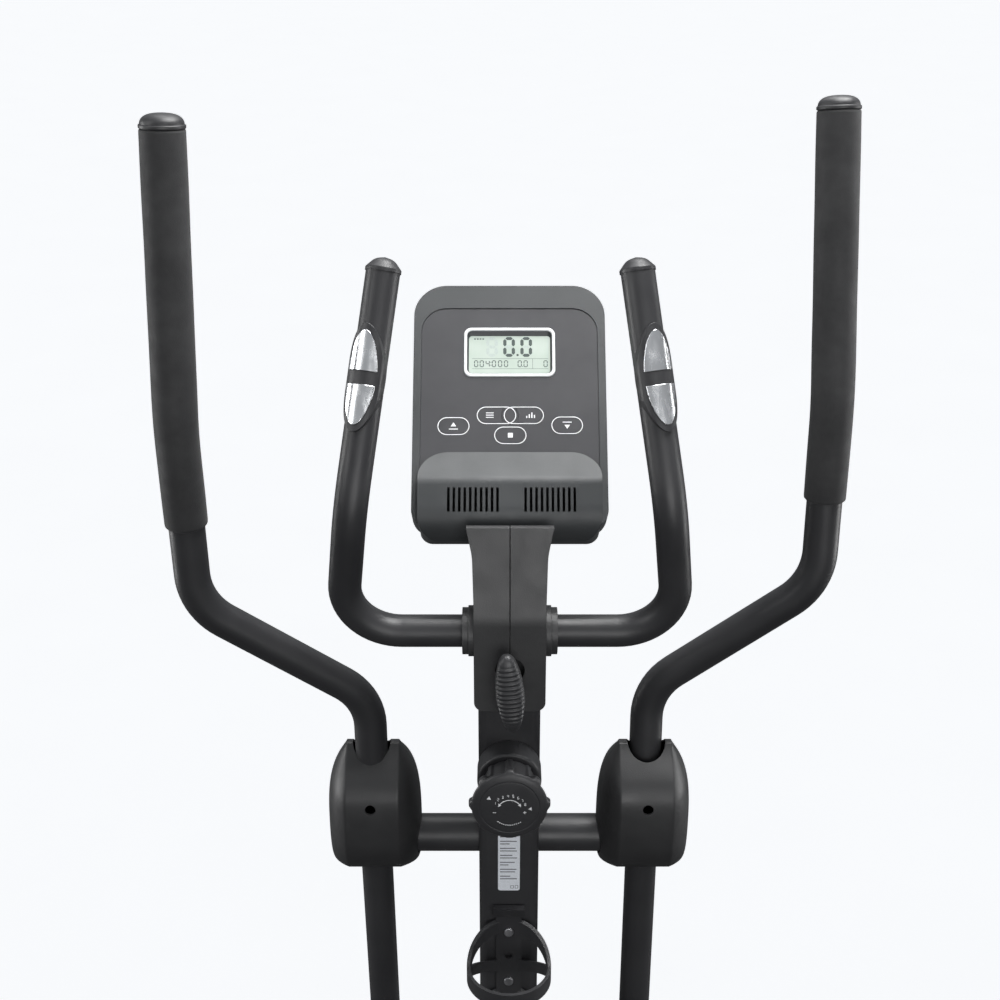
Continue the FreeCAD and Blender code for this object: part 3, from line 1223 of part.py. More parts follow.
def cage_screws():
    """Two button-head screws."""
    screws = []
    for z in cage_screw_places():
        shank = rod_y(0, (MAST_FACE_Y - 5, MAST_FACE_Y + 7), z, 2.5)
        head = rod_y(0, (MAST_FACE_Y - 8, MAST_FACE_Y - 5), z, 4.8)
        screws.append(joined([shank, head]))
    return screws


def cage_band(start_z, end_z, height):
    """An arm of the cage that runs round from the spine at one height to the side at another."""
    sleeve = rod_z(0, CAGE_Y, (CAGE_BOTTOM, 830), CAGE_RADIUS).cut(
        rod_z(0, CAGE_Y, (CAGE_BOTTOM - 1, 831), CAGE_INNER_RADIUS))
    rear_y = CAGE_Y + CAGE_RADIUS
    half = height / 2
    slab = side_prism([(rear_y + 1, start_z - half), (rear_y + 1, start_z + half),
                       (CAGE_Y - 2, end_z + half), (CAGE_Y - 2, end_z - half)], 0, (-60, 60))
    return sleeve.common(slab)


def bottle_cage():
    """Moulded cage: a spine on the mast, crossing arms, a front hoop and a lower basket."""
    spine = box((-13, 13), (MAST_FACE_Y - 5, MAST_FACE_Y), (CAGE_BOTTOM, 806))
    lip = side_prism([(MAST_FACE_Y, 800), (MAST_FACE_Y - 5, 800), (MAST_FACE_Y - 10, 813),
                      (MAST_FACE_Y - 2, 813)], 0, (-16, 16))
    front = rod_z(0, CAGE_Y, (CAGE_RING_Z - 8, CAGE_RING_Z + 8), CAGE_RADIUS).cut(
        rod_z(0, CAGE_Y, (CAGE_RING_Z - 9, CAGE_RING_Z + 9), CAGE_INNER_RADIUS))
    front = front.common(box((-60, 60), (CAGE_Y - 60, CAGE_Y), (600, 900)))
    arms = [cage_band(790, CAGE_RING_Z, 14), cage_band(734, CAGE_RING_Z, 14),
            cage_band(700, 668, 14)]
    low_front = rod_z(0, CAGE_Y, (660, 676), CAGE_RADIUS).cut(rod_z(0, CAGE_Y, (659, 677), CAGE_INNER_RADIUS))
    low_front = low_front.common(box((-60, 60), (CAGE_Y - 60, CAGE_Y), (600, 900)))
    strut = box((-6, 6), (CAGE_Y - CAGE_RADIUS + 0.2, CAGE_Y - CAGE_INNER_RADIUS - 0.2), (CAGE_BOTTOM, 668))
    shelf = box((-11, 11), (CAGE_Y - CAGE_RADIUS + 1, MAST_FACE_Y - 1), (CAGE_BOTTOM, CAGE_BOTTOM + 4))
    body = joined([spine, lip, front] + arms + [low_front, strut, shelf])
    centre_hole = rod_y(0, (MAST_FACE_Y - 9, MAST_FACE_Y + 1), 750, 4)
    return body.cut([centre_hole] + cage_screw_holes())


# ---------------------------------------------------------------- assembly

def save_root_pieces():
    """Everything that stays still."""
    save("base_frame", base_frame())
    save("stabilizer_tubes", stabilizer_tubes())
    save("stabilizer_end_caps", stabilizer_end_caps())
    save("frame_fasteners", frame_fasteners() + both_sides(wheel_bolt()))
    save("mast", mast())
    save("mast_base_cover", mast_base_cover())
    save("pivot_axle", pivot_axle())
    save("crank_bearings", crank_bearings())
    save("flywheel_axle", flywheel_axle())
    save("drive_belt", drive_belt())
    save("left_housing_shell", housing_shell(-1))
    save("right_housing_shell", housing_shell(1))
    save("cover_screws", housing_screws() + cage_screws())
    left_cover, right_cover = head_cover_halves()
    save("mast_head_cover_left", left_cover)
    save("mast_head_cover_right", right_cover)
    save("handlebar_saddle", handlebar_saddle())
    save("tension_control_housing", tension_control_housing())
    save("tension_cable", tension_cable())
    save("bottle_cage", bottle_cage())


def save_console_pieces():
    """The console and its buttons."""
    save("console_bracket", console_bracket())
    save("console_back_shell", console_back_shell())
    save("console_front_panel", console_front_panel())
    save("console_hood", console_hood())
    save("console_circuit_board", console_circuit_board())
    save("lcd_bezel", lcd_bezel())
    save("lcd_screen", lcd_screen())
    for name in BUTTONS:
        save(name, button(name))


def save_moving_pieces():
    """Handlebar, knobs, crank, flywheel, brake and wheels."""
    save("handlebar", handlebar())
    save("handlebar_end_caps", both_sides(handlebar_end_cap()))
    save("pulse_sensor_housings", both_sides(sensor_housing()))
    plates = sensor_plates()
    save("pulse_sensor_plates", plates + [mirrored(plate) for plate in plates])
    save("clamp_knob", clamp_knob())
    save("tension_knob", tension_knob())
    save("crank", crank())
    save("crank_discs", [crank_disc(side) for _, side in SIDES])
    save("crank_pulley", crank_pulley())
    save("flywheel", flywheel())
    save("magnet_bracket", magnet_bracket())
    for name, side in SIDES:
        save(f"{name}_transport_wheel", on_side(transport_wheel(), side))


def save_arm_pieces(name, side):
    """One swing arm with its handle, grip and cover, and its pedal bar and pedal."""
    save(f"{name}_lower_arm", [arm_at_rest(solid, side) for solid in lower_arm()])
    save(f"{name}_pivot_fittings", [arm_at_rest(solid, side) for solid in pivot_fittings()])
    save(f"{name}_pivot_cover", [arm_at_rest(solid, side) for solid in pivot_cover()])
    save(f"{name}_upper_handle", arm_at_rest(upper_handle(), side))
    save(f"{name}_grip", arm_at_rest(grip(), side))
    save(f"{name}_grip_cap", arm_at_rest(grip_cap(), side))
    save(f"{name}_pedal_bar", [bar_at_rest(solid, side) for solid in pedal_bar()])
    save(f"{name}_pedal", bar_at_rest(pedal(), side))


def main():
    """Build and save every sub-part."""
    os.makedirs("parts", exist_ok=True)
    save_root_pieces()
    save_console_pieces()
    save_moving_pieces()
    for name, side in SIDES:
        save_arm_pieces(name, side)


if __name__ == "__main__":
    main()
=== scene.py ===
"""The looks of an elliptical trainer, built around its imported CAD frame.

Metres, +Z up, +Y away from the user, +X to the user's right. Console pieces are placed in the
console's own frame: across, up the face, and out of the face.
"""
import json
import math

import bmesh
import bpy
from mathutils import Matrix, Vector
from mathutils.bvhtree import BVHTree


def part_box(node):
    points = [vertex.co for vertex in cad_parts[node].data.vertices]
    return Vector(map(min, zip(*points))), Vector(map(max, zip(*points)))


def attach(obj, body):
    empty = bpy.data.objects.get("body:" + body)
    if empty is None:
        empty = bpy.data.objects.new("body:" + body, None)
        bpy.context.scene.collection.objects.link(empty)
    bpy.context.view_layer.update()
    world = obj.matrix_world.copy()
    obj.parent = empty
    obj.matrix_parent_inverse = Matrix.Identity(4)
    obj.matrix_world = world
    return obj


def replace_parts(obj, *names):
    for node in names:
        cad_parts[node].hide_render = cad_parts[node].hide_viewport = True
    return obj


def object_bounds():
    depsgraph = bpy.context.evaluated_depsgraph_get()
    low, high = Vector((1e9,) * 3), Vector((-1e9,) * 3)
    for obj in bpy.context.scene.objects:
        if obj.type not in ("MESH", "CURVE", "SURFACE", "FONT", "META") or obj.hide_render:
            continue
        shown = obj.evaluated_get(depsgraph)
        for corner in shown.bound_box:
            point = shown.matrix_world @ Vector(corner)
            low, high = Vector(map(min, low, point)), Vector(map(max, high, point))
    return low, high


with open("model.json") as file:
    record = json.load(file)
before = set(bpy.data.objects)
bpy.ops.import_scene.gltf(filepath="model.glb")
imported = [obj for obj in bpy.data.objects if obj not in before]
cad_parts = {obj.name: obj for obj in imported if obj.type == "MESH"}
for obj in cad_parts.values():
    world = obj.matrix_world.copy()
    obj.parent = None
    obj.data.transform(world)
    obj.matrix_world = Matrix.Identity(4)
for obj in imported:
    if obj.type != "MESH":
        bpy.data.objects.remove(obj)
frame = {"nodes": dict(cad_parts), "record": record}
cad_low, cad_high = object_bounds()

MM = 0.001
X_AXIS = Vector((1, 0, 0))
Y_AXIS = Vector((0, 1, 0))
Z_AXIS = Vector((0, 0, 1))
SIDES = (("left", -1), ("right", 1))
RECORD = frame["record"]
JOINTS = {joint["name"]: joint for joint in RECORD["behaviour"]["joints"]}
NODE_SLOTS = {part["node"]: part["material_slot"] for part in RECORD["subparts"]}
NODE_BODIES = {node: body for body, nodes in RECORD["behaviour"]["bodies"].items() for node in nodes}
MAST_Y = JOINTS["left_arm_swing"]["pos_m"][1]


# ---------- materials

GLOSS_SPAN = (0.3, 0.7)  # texture values between which a roughness changes
TINT_SPAN = (0.35, 0.65)  # texture values between which two tones blend


def new_material(name, color, roughness, **sockets):
    """A material with one principled shader; other sockets are given by keyword."""
    made = bpy.data.materials.new(name)
    made.use_nodes = True
    shader = shader_of(made)
    shader.inputs["Base Color"].default_value = (*color, 1)
    shader.inputs["Roughness"].default_value = roughness
    for socket, value in sockets.items():
        shader.inputs[socket.replace("_", " ")].default_value = value
    return made


def shader_of(made):
    """The material's principled shader."""
    return made.node_tree.nodes["Principled BSDF"]


def noise_texture(made, scale, detail=4.0, stretch=(1, 1, 1)):
    """A noise in the piece's own coordinates; returns its factor output."""
    tree = made.node_tree
    place = tree.nodes.new("ShaderNodeTexCoord")
    mapping = tree.nodes.new("ShaderNodeMapping")
    mapping.inputs["Scale"].default_value = stretch
    texture = tree.nodes.new("ShaderNodeTexNoise")
    texture.inputs["Scale"].default_value = scale
    texture.inputs["Detail"].default_value = detail
    tree.links.new(place.outputs["Object"], mapping.inputs["Vector"])
    tree.links.new(mapping.outputs["Vector"], texture.inputs["Vector"])
    return texture.outputs["Fac"]


def cell_texture(made, scale):
    """A cellular texture in the piece's own coordinates; returns its distance output."""
    tree = made.node_tree
    place = tree.nodes.new("ShaderNodeTexCoord")
    texture = tree.nodes.new("ShaderNodeTexVoronoi")
    texture.inputs["Scale"].default_value = scale
    tree.links.new(place.outputs["Object"], texture.inputs["Vector"])
    return texture.outputs["Distance"]


def map_range(tree, factor, before, after):
    """Stretch values from one (low, high) range to another."""
    node = tree.nodes.new("ShaderNodeMapRange")
    for socket, value in zip(("From Min", "From Max", "To Min", "To Max"), before + after):
        node.inputs[socket].default_value = value
    tree.links.new(factor, node.inputs["Value"])
    return node.outputs["Result"]


def vary_roughness(made, noise, low, high):
    """Change the roughness from low to high by a noise."""
    tree = made.node_tree
    tree.links.new(map_range(tree, noise, GLOSS_SPAN, (low, high)), shader_of(made).inputs["Roughness"])


def tint(made, scale, dark, light, detail=4.0):
    """Blend the base colour between two tones by a noise."""
    tree = made.node_tree
    ramp = tree.nodes.new("ShaderNodeValToRGB")
    for element, position, color in zip(ramp.color_ramp.elements, TINT_SPAN, (dark, light)):
        element.position = position
        element.color = (*color, 1)
    tree.links.new(noise_texture(made, scale, detail), ramp.inputs["Fac"])
    tree.links.new(ramp.outputs["Color"], shader_of(made).inputs["Base Color"])


def bump(made, layers):
    """Stack bump layers given as (texture output, height in metres, strength)."""
    tree = made.node_tree
    previous = None
    for factor, height, strength in layers:
        node = tree.nodes.new("ShaderNodeBump")
        node.inputs["Distance"].default_value = height
        node.inputs["Strength"].default_value = strength
        tree.links.new(factor, node.inputs["Height"])
        if previous is not None:
            tree.links.new(previous.outputs["Normal"], node.inputs["Normal"])
        previous = node
    tree.links.new(previous.outputs["Normal"], shader_of(made).inputs["Normal"])


def powder_coat():
    """Black powder coat: a fine pebbled skin with slow changes in gloss."""
    made = new_material("powder_coat_black", (0.025, 0.025, 0.027), 0.42)
    tint(made, 9, (0.022, 0.022, 0.024), (0.031, 0.031, 0.033))
    vary_roughness(made, noise_texture(made, 30), 0.36, 0.48)
    bump(made, [(noise_texture(made, 900, 3), 0.00012, 0.5), (noise_texture(made, 160), 0.0002, 0.18)])
    return made


def moulded_plastic(name, dark, light, roughness, grain, depth):
    """Injection-moulded plastic with a spark-eroded grain."""
    made = new_material(name, light, roughness)
    tint(made, 14, dark, light)
    vary_roughness(made, noise_texture(made, 55), roughness - 0.05, roughness + 0.06)
    bump(made, [(cell_texture(made, grain), depth, 0.45), (noise_texture(made, grain * 0.35), depth, 0.3)])
    return made


def closed_cell_foam():
    """Skinned black foam: soft sheen, tiny pores and slow waves from hands."""
    made = new_material("foam_black", (0.025, 0.025, 0.026), 0.7)
    shader_of(made).inputs["Sheen Weight"].default_value = 0.08
    shader_of(made).inputs["Sheen Roughness"].default_value = 0.5
    tint(made, 22, (0.017, 0.017, 0.018), (0.025, 0.025, 0.026))
    vary_roughness(made, noise_texture(made, 80), 0.64, 0.8)
    bump(made, [(cell_texture(made, 1100), 0.00015, 0.5), (noise_texture(made, 320, 5), 0.0003, 0.35),
                (noise_texture(made, 24, 2), 0.0012, 0.15)])
    return made


def metal(name, color, roughness, scratch_scale):
    """Bare or plated metal with fine directional wear."""
    made = new_material(name, color, roughness, Metallic=1.0)
    wear = noise_texture(made, scratch_scale, 6, (1, 1, 0.08))
    vary_roughness(made, wear, roughness * 0.7, roughness * 1.5)
    scratches = noise_texture(made, scratch_scale * 2, 4, (1, 1, 0.05))
    bump(made, [(scratches, 0.00004, 0.25)])
    return made


def cast_iron():
    """Cast iron: a mottled dull grey with a rough skin."""
    made = new_material("cast_iron", (0.2, 0.2, 0.21), 0.4, Metallic=1.0)
    tint(made, 60, (0.15, 0.15, 0.16), (0.26, 0.26, 0.27))
    bump(made, [(noise_texture(made, 500), 0.0001, 0.5)])
    return made


def rubber(name, color, roughness):
    """Plain rubber with a dusty variation."""
    made = new_material(name, color, roughness)
    tint(made, 40, color, [channel * 1.6 for channel in color])
    bump(made, [(noise_texture(made, 700), 0.0001, 0.5)])
    return made


def display_glass():
    """Pale green reflective liquid-crystal panel under a clear window."""
    made = new_material("display_pale_green", (0.45, 0.51, 0.46), 0.25, Coat_Weight=0.5,
                        Coat_Roughness=0.05)
    tint(made, 35, (0.43, 0.5, 0.44), (0.48, 0.54, 0.49), detail=2)
    bump(made, [(noise_texture(made, 1500, 2), 0.00003, 0.2)])
    return made


def printed(name, color, roughness=0.55):
    """Screen-printed ink with a slightly uneven film."""
    made = new_material(name, color, roughness)
    tint(made, 900, [channel * 0.88 for channel in color], color)
    bump(made, [(noise_texture(made, 1200), 0.00002, 0.4)])
    return made


MATERIALS = {
    "frame_paint": powder_coat(),
    "cover_plastic": moulded_plastic(
        "cover_plastic_black", (0.021, 0.021, 0.022), (0.028, 0.028, 0.029),
        roughness=0.43, grain=1300, depth=0.00012),
    "cap_plastic": moulded_plastic(
        "cap_plastic_black", (0.024, 0.024, 0.026), (0.032, 0.032, 0.034),
        roughness=0.4, grain=1500, depth=0.00008),
    "console_plastic": moulded_plastic(
        "console_plastic_grey", (0.037, 0.04, 0.042), (0.045, 0.048, 0.05),
        roughness=0.47, grain=1500, depth=0.0001),
    "panel_plastic": moulded_plastic(
        "panel_overlay_grey", (0.034, 0.034, 0.038), (0.041, 0.041, 0.045),
        roughness=0.56, grain=2200, depth=0.00006),
    "button_plastic": moulded_plastic(
        "button_grey", (0.037, 0.037, 0.041), (0.045, 0.045, 0.049),
        roughness=0.45, grain=2200, depth=0.00005),
    "pedal_plastic": moulded_plastic(
        "pedal_plastic_black", (0.026, 0.026, 0.028), (0.04, 0.04, 0.042),
        roughness=0.6, grain=650, depth=0.0004),
    "bezel_plastic": moulded_plastic(
        "bezel_silver_white", (0.74, 0.75, 0.76), (0.82, 0.83, 0.84),
        roughness=0.3, grain=1800, depth=0.00003),
    "foam": closed_cell_foam(),
    "steel": metal("zinc_plated_steel", (0.55, 0.55, 0.57), 0.3, 220),
    "sensor_metal": metal("polished_sensor_metal", (0.93, 0.94, 0.96), 0.2, 160),
    "flywheel_iron": cast_iron(),
    "belt_rubber": rubber("belt_rubber", (0.018, 0.018, 0.018), 0.6),
    "cable_sheath": rubber("cable_sheath", (0.02, 0.02, 0.02), 0.45),
    "wheel_rubber": rubber("wheel_rubber", (0.03, 0.03, 0.03), 0.6),
    "display_glass": display_glass(),
    "circuit_board": printed("solder_mask_green", (0.03, 0.18, 0.07), 0.3),
}
# The black cover plastic again, made lighter for the mast head covers: painted light for the light their
# upright faces catch
LIT_HEAD_PLASTIC = moulded_plastic(
    "head_cover_plastic_painted_light", (0.031, 0.031, 0.032), (0.04, 0.04, 0.041),
    roughness=0.42, grain=1300, depth=0.00012)
WHITE_INK = printed("white_ink", (0.82, 0.83, 0.84))
DARK_INK = printed("display_segment", (0.055, 0.075, 0.068), 0.35)
FAINT_INK = printed("display_idle_segment", (0.4, 0.46, 0.43), 0.35)
# dark colour for the display's well: painted shade standing in for the shadow in the recess
WELL_SHADE_PAINT = printed("display_well_painted_shade", (0.035, 0.04, 0.042), 0.4)
LABEL_PAPER = printed("label_paper", (0.78, 0.81, 0.86), 0.4)
LABEL_INK = printed("label_ink", (0.12, 0.12, 0.13), 0.5)


# ---------- mesh helpers

WELD_GAP = 0.02 * MM  # a CAD mesh's corners nearer than this become one
FLAT_TURN = 0.6  # degrees; faces that turn less than this are one flat face
HARD_TURN = 32  # degrees; an edge that turns more than this is rounded
CUT_TOLERANCE = 1e-7
TUBE_END_MARGIN = 14 * MM  # keeps level cuts clear of a slanting tube's ends


def add_piece(name, mesh, node, material=None):
    """A new object that looks like, and moves with, a CAD node."""
    piece = bpy.data.objects.new(name, mesh)
    bpy.context.scene.collection.objects.link(piece)
    slot = NODE_SLOTS[node]
    piece.data.materials.clear()
    piece.data.materials.append(material or MATERIALS[slot])
    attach(piece, NODE_BODIES[node])
    return piece


def mesh_from(build, name):
    """A mesh filled in by a function that is given an empty bmesh."""
    made = bpy.data.meshes.new(name)
    work = bmesh.new()
    build(work)
    bmesh.ops.recalc_face_normals(work, faces=work.faces)
    work.to_mesh(made)
    work.free()
    return made


def smooth_by_angle(mesh, degrees):
    """Smooth shading with sharp edges kept where the surface turns more than the angle."""
    mesh.shade_smooth()
    mesh.set_sharp_from_angle(angle=math.radians(degrees))


def apply_modifiers(piece):
    """Replace the piece's mesh by the result of its modifiers."""
    graph = bpy.context.evaluated_depsgraph_get()
    finished = bpy.data.meshes.new_from_object(piece.evaluated_get(graph))
    piece.modifiers.clear()
    piece.data = finished


def softened(node, width, material=None):
    """A copy of a CAD node, its hard edges rounded by a width in millimetres, in the node's place."""
    mesh = frame["nodes"][node].data.copy()
    work = bmesh.new()
    work.from_mesh(mesh)
    bmesh.ops.remove_doubles(work, verts=work.verts, dist=WELD_GAP)
    bmesh.ops.dissolve_limit(work, angle_limit=math.radians(FLAT_TURN), verts=work.verts,
                             edges=work.edges)
    work.to_mesh(mesh)
    work.free()
    piece = add_piece(f"{node}_finish", mesh, node, material)
    edges = piece.modifiers.new("edges", "BEVEL")
    edges.width = width * MM
    edges.segments = 2
    edges.limit_method = "ANGLE"
    edges.angle_limit = math.radians(HARD_TURN)
    edges.miter_outer = "MITER_ARC"
    smooth_by_angle(piece.data, 40)
    weighted = piece.modifiers.new("normals", "WEIGHTED_NORMAL")
    weighted.keep_sharp = True
    apply_modifiers(piece)
    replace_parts(piece, node)


def section_centre(node, height):
    """The middle of a CAD tube where a level plane cuts it."""
    work = bmesh.new()
    work.from_mesh(frame["nodes"][node].data)
    cut = bmesh.ops.bisect_plane(work, geom=work.verts[:] + work.edges[:] + work.faces[:],
                                 dist=CUT_TOLERANCE, plane_co=(0, 0, height), plane_no=(0, 0, 1))
    points = [tuple(item.co) for item in cut["geom_cut"] if isinstance(item, bmesh.types.BMVert)]
    work.free()
    x, y, _ = ((min(values) + max(values)) / 2 for values in zip(*points))
    return Vector((x, y, height))


def tube_centres(node, count):
    """Points along the middle of a rising CAD tube, evenly spaced in height."""
    low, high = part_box(node)
    first = low.z + TUBE_END_MARGIN
    rise = high.z - low.z - 2 * TUBE_END_MARGIN
    return [section_centre(node, first + rise * i / (count - 1)) for i in range(count)]


def cross_directions(points, i):
    """Two directions across a line at one of its points."""
    before = points[max(i - 1, 0)]
    after = points[min(i + 1, len(points) - 1)]
    tangent = (after - before).normalized()
    across = Y_AXIS.cross(tangent).normalized()
    return across, tangent.cross(across).normalized()


def add_ring(work, centre, across, other, radius, count):
    """A ring of vertices round a centre."""
    ring = []
    for step in range(count):
        angle = 2 * math.pi * step / count
        ring.append(work.verts.new(centre + (across * math.cos(angle) + other * math.sin(angle)) * radius))
    return ring


def bridge(work, first, second):
    """Faces between two rings of the same size, or between a ring and a single point."""
    count = max(len(first), len(second))
    for i in range(count):
        following = (i + 1) % count
        corners = (first[i % len(first)], first[following % len(first)],
                   second[following % len(second)], second[i % len(second)])
        work.faces.new(tuple(dict.fromkeys(corners)))


def add_stack(work, rings):
    """A closed solid through a stack of rings of the same size."""
    work.faces.new(rings[0][::-1])
    for first, second in zip(rings, rings[1:]):
        bridge(work, first, second)
    work.faces.new(rings[-1])


def lathe_rings(work, origin, axis, profile, count):
    """A turned shape about an axis from (along, radius) pairs; a radius of 0 closes it."""
    across = axis.orthogonal().normalized()
    other = axis.cross(across).normalized()
    previous = None
    for along, radius in profile:
        centre = origin + axis * along
        if radius > 0:
            ring = add_ring(work, centre, across, other, radius, count)
        else:
            ring = [work.verts.new(centre)]
        if previous is not None:
            bridge(work, previous, ring)
        previous = ring


def along_curve(keys, position):
    """The value at a position on a smooth line through (position, value) pairs."""
    last = len(keys) - 1
    i = max(0, min(last - 1, sum(1 for place, _ in keys if place <= position) - 1))
    (start, first), (end, second) = keys[i], keys[i + 1]
    (before, earlier), (after, later) = keys[max(i - 1, 0)], keys[min(i + 2, last)]
    part = (position - start) / (end - start)
    rise_start = (second - earlier) / (end - before) * (end - start)
    rise_end = (later - first) / (after - start) * (end - start)
    square = part ** 2
    cube = part ** 3
    return ((2 * cube - 3 * square + 1) * first + (cube - 2 * square + part) * rise_start
            + (3 * square - 2 * cube) * second + (cube - square) * rise_end)


def rod_mesh(start, end, radius, count=64):
    """A closed round bar between two points."""
    length = (end - start).length
    profile = [(0, 0), (0, radius), (length, radius), (length, 0)]
    axis = (end - start).normalized()
    return mesh_from(lambda work: lathe_rings(work, start, axis, profile, count), "cutter")


def carve(piece, cutters):
    """Cut closed meshes out of a piece."""
    helpers = []
    for number, cutter in enumerate(cutters):
        helper = bpy.data.objects.new(f"cutter_{number}", cutter)
        bpy.context.scene.collection.objects.link(helper)
        cut = piece.modifiers.new(f"cut_{number}", "BOOLEAN")
        cut.object = helper
        cut.operation = "DIFFERENCE"
        cut.solver = "EXACT"
        helpers.append(helper)
    apply_modifiers(piece)
    for helper in helpers:
        bpy.data.objects.remove(helper)


# ---------- foam grips and caps

FOAM_RADIUS = 19.0 * MM
HANDLE_RADIUS = 16.0 * MM
GRIP_PASSAGE = HANDLE_RADIUS + 0.05 * MM
GRIP_POINTS = 41  # level cuts that find a grip's middle line
GRIP_SIDES = 56
GRIP_ROLL = (  # distance from an end of the foam and growth of its radius, millimetres
    (0.0, -2.2), (0.25, -0.8), (0.9, -0.15), (2.4, 0.0))
GRIP_ROLL_REACH = 5 * MM  # other rings stay this far from the ends
FOAM_SWELL = 0.25  # millimetres
FOAM_WAVE = 0.14
FOAM_DRAW_IN = 0.15
CAP_RADIUS = 19.0  # the end cap, millimetres
CAP_PLUG_RADIUS = 13.9
CAP_PLUG = (  # distance from the grip's end and inset from the plug's radius
    (-16, CAP_PLUG_RADIUS), (-16, 0.6), (-15.2, 0.0), (0.1, 0.0))
CAP_RIM = (  # and inset from the cap's radius
    (0.1, 1.1), (0.35, 0.45), (0.8, 0.1), (1.4, 0.0), (2.6, 0.0), (3.1, 0.1), (3.5, 0.45), (3.8, 1.1))
CAP_DOME_HEIGHT = 8.6
CAP_DOME_STEPS = 12


def line_end(before, last, level):
    """Where a grip's middle line ends, so that the rim of its slanting end just reaches a level."""
    direction = (last - before).normalized()
    lean = math.sqrt(max(0.0, 1 - direction.z ** 2)) * FOAM_RADIUS
    return last + direction * ((abs(level - last.z) - lean) / abs(direction.z))


def grip_line(side_name):
    """The middle line of a foam grip, from its lower end to its upper end."""
    node = f"{side_name}_grip"
    middle = tube_centres(node, GRIP_POINTS)
    low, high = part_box(node)
    return [line_end(middle[1], middle[0], low.z)] + middle + [line_end(middle[-2], middle[-1], high.z)]


def soft_radius(share, turn):
    """The foam's outer radius: a slight swell, drawn in at the ends, with faint hand waves."""
    swell = FOAM_SWELL * math.sin(math.pi * share)
    waves = FOAM_WAVE * math.sin(19 * share + 0.7) * math.sin(2 * turn + 5 * share)
    return FOAM_RADIUS + (swell + waves - FOAM_DRAW_IN) * MM


def grip_stations(lengths):
    """Distances along a grip and the skin's growth there, close together at the rolled ends."""
    total = lengths[-1]
    stations = [(along * MM, growth * MM) for along, growth in GRIP_ROLL]
    stations += [(length, 0.0) for length in lengths[1:-1]
                 if GRIP_ROLL_REACH < length < total - GRIP_ROLL_REACH]
    return stations + [(total - along * MM, growth * MM) for along, growth in reversed(GRIP_ROLL)]


def skin_ring(work, line, lengths, along, growth):
    """One ring of a grip's skin at a distance along its middle line."""
    i = max(k for k in range(len(line) - 1) if lengths[k] <= along + 1e-9)
    part = (along - lengths[i]) / (lengths[i + 1] - lengths[i])
    centre = line[i].lerp(line[i + 1], part)
    across, other = cross_directions(line, i if part < 0.5 else i + 1)
    ring = []
    for step in range(GRIP_SIDES):
        turn = 2 * math.pi * step / GRIP_SIDES
        radius = soft_radius(along / lengths[-1], turn) + growth
        direction = across * math.cos(turn) + other * math.sin(turn)
        ring.append(work.verts.new(centre + direction * radius))
    return ring


def foam_grip(side_name):
    """A long foam sleeve with rolled ends, open where the handle tube passes; returns its line."""
    node = f"{side_name}_grip"
    line = grip_line(side_name)
    lengths = [0.0]
    for before, after in zip(line, line[1:]):
        lengths.append(lengths[-1] + (after - before).length)

    def build(work):
        skin = [skin_ring(work, line, lengths, *station) for station in grip_stations(lengths)]
        passage = [add_ring(work, point, *cross_directions(line, i), GRIP_PASSAGE, GRIP_SIDES)
                   for i, point in enumerate(line)]
        for first, second in zip(skin, skin[1:]):
            bridge(work, first, second)
        bridge(work, passage[0], skin[0])
        bridge(work, skin[-1], passage[-1])
        for first, second in zip(passage, passage[1:]):
            bridge(work, second, first)

    mesh = mesh_from(build, f"{side_name}_foam_grip")
    mesh.shade_smooth()
    piece = add_piece(f"{side_name}_foam_grip", mesh, node)
    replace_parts(piece, node)
    return line


def cap_profile():
    """Half the section of an end cap, from its plug inside the grip to the top of its low dome."""
    profile = [(along, CAP_PLUG_RADIUS - inset) for along, inset in CAP_PLUG]
    profile += [(along, CAP_RADIUS - inset) for along, inset in CAP_RIM]
    dome_foot, dome_radius = profile[-1]
    for step in range(1, CAP_DOME_STEPS):
        turn = math.radians(90 * step / CAP_DOME_STEPS)
        rise = 1 - (1 - math.sin(turn)) ** 1.25
        profile.append((dome_foot + CAP_DOME_HEIGHT * rise, dome_radius * math.cos(turn) ** 0.92))
    profile.append((dome_foot + CAP_DOME_HEIGHT, 0))
    return [(along * MM, radius * MM) for along, radius in profile]


def grip_cap(side_name, end, axis):
    """A domed cap with a rounded rim and a groove under it, on the end of a grip."""
    name = f"{side_name}_grip_dome"
    node = f"{side_name}_grip_cap"
    mesh = mesh_from(lambda work: lathe_rings(work, end, axis, cap_profile(), GRIP_SIDES), name)
    smooth_by_angle(mesh, 50)
    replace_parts(add_piece(name, mesh, node), node)


def build_grips():
    """Foam grips and their end caps on both moving handles."""
    for side_name, _ in SIDES:
        line = foam_grip(side_name)
        grip_cap(side_name, line[-1], (line[-1] - line[-4]).normalized())


# ---------- the console's own frame

SEGMENT_GAP = 0.16  # the gap at a digit bar's ends, as a share of its thickness
DIGIT_BARS = {"0": "abcdef", "1": "bc", "2": "abged", "3": "abgcd", "4": "fgbc", "5": "afgcd",
              "6": "afgedc", "7": "abc", "8": "abcdefg"}
OUT = -Vector(JOINTS["up_button_press"]["axis"]).normalized()
UP_FACE = OUT.cross(X_AXIS)
FRAME_LIFT = 0.1  # from the display's middle up to its frame's middle, millimetres
FRAME_SINK = 1.3  # from the face plane down to the frame's middle, millimetres
FRAME_LOW, FRAME_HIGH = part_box("lcd_bezel")
FACE_CENTRE = (FRAME_LOW + FRAME_HIGH) / 2 - UP_FACE * (FRAME_LIFT * MM) + OUT * (FRAME_SINK * MM)


def face_point(across, up, out):
    """A point of the console's own frame, in millimetres, as a place in the machine's frame."""
    return FACE_CENTRE + (X_AXIS * across + UP_FACE * up + OUT * out) * MM


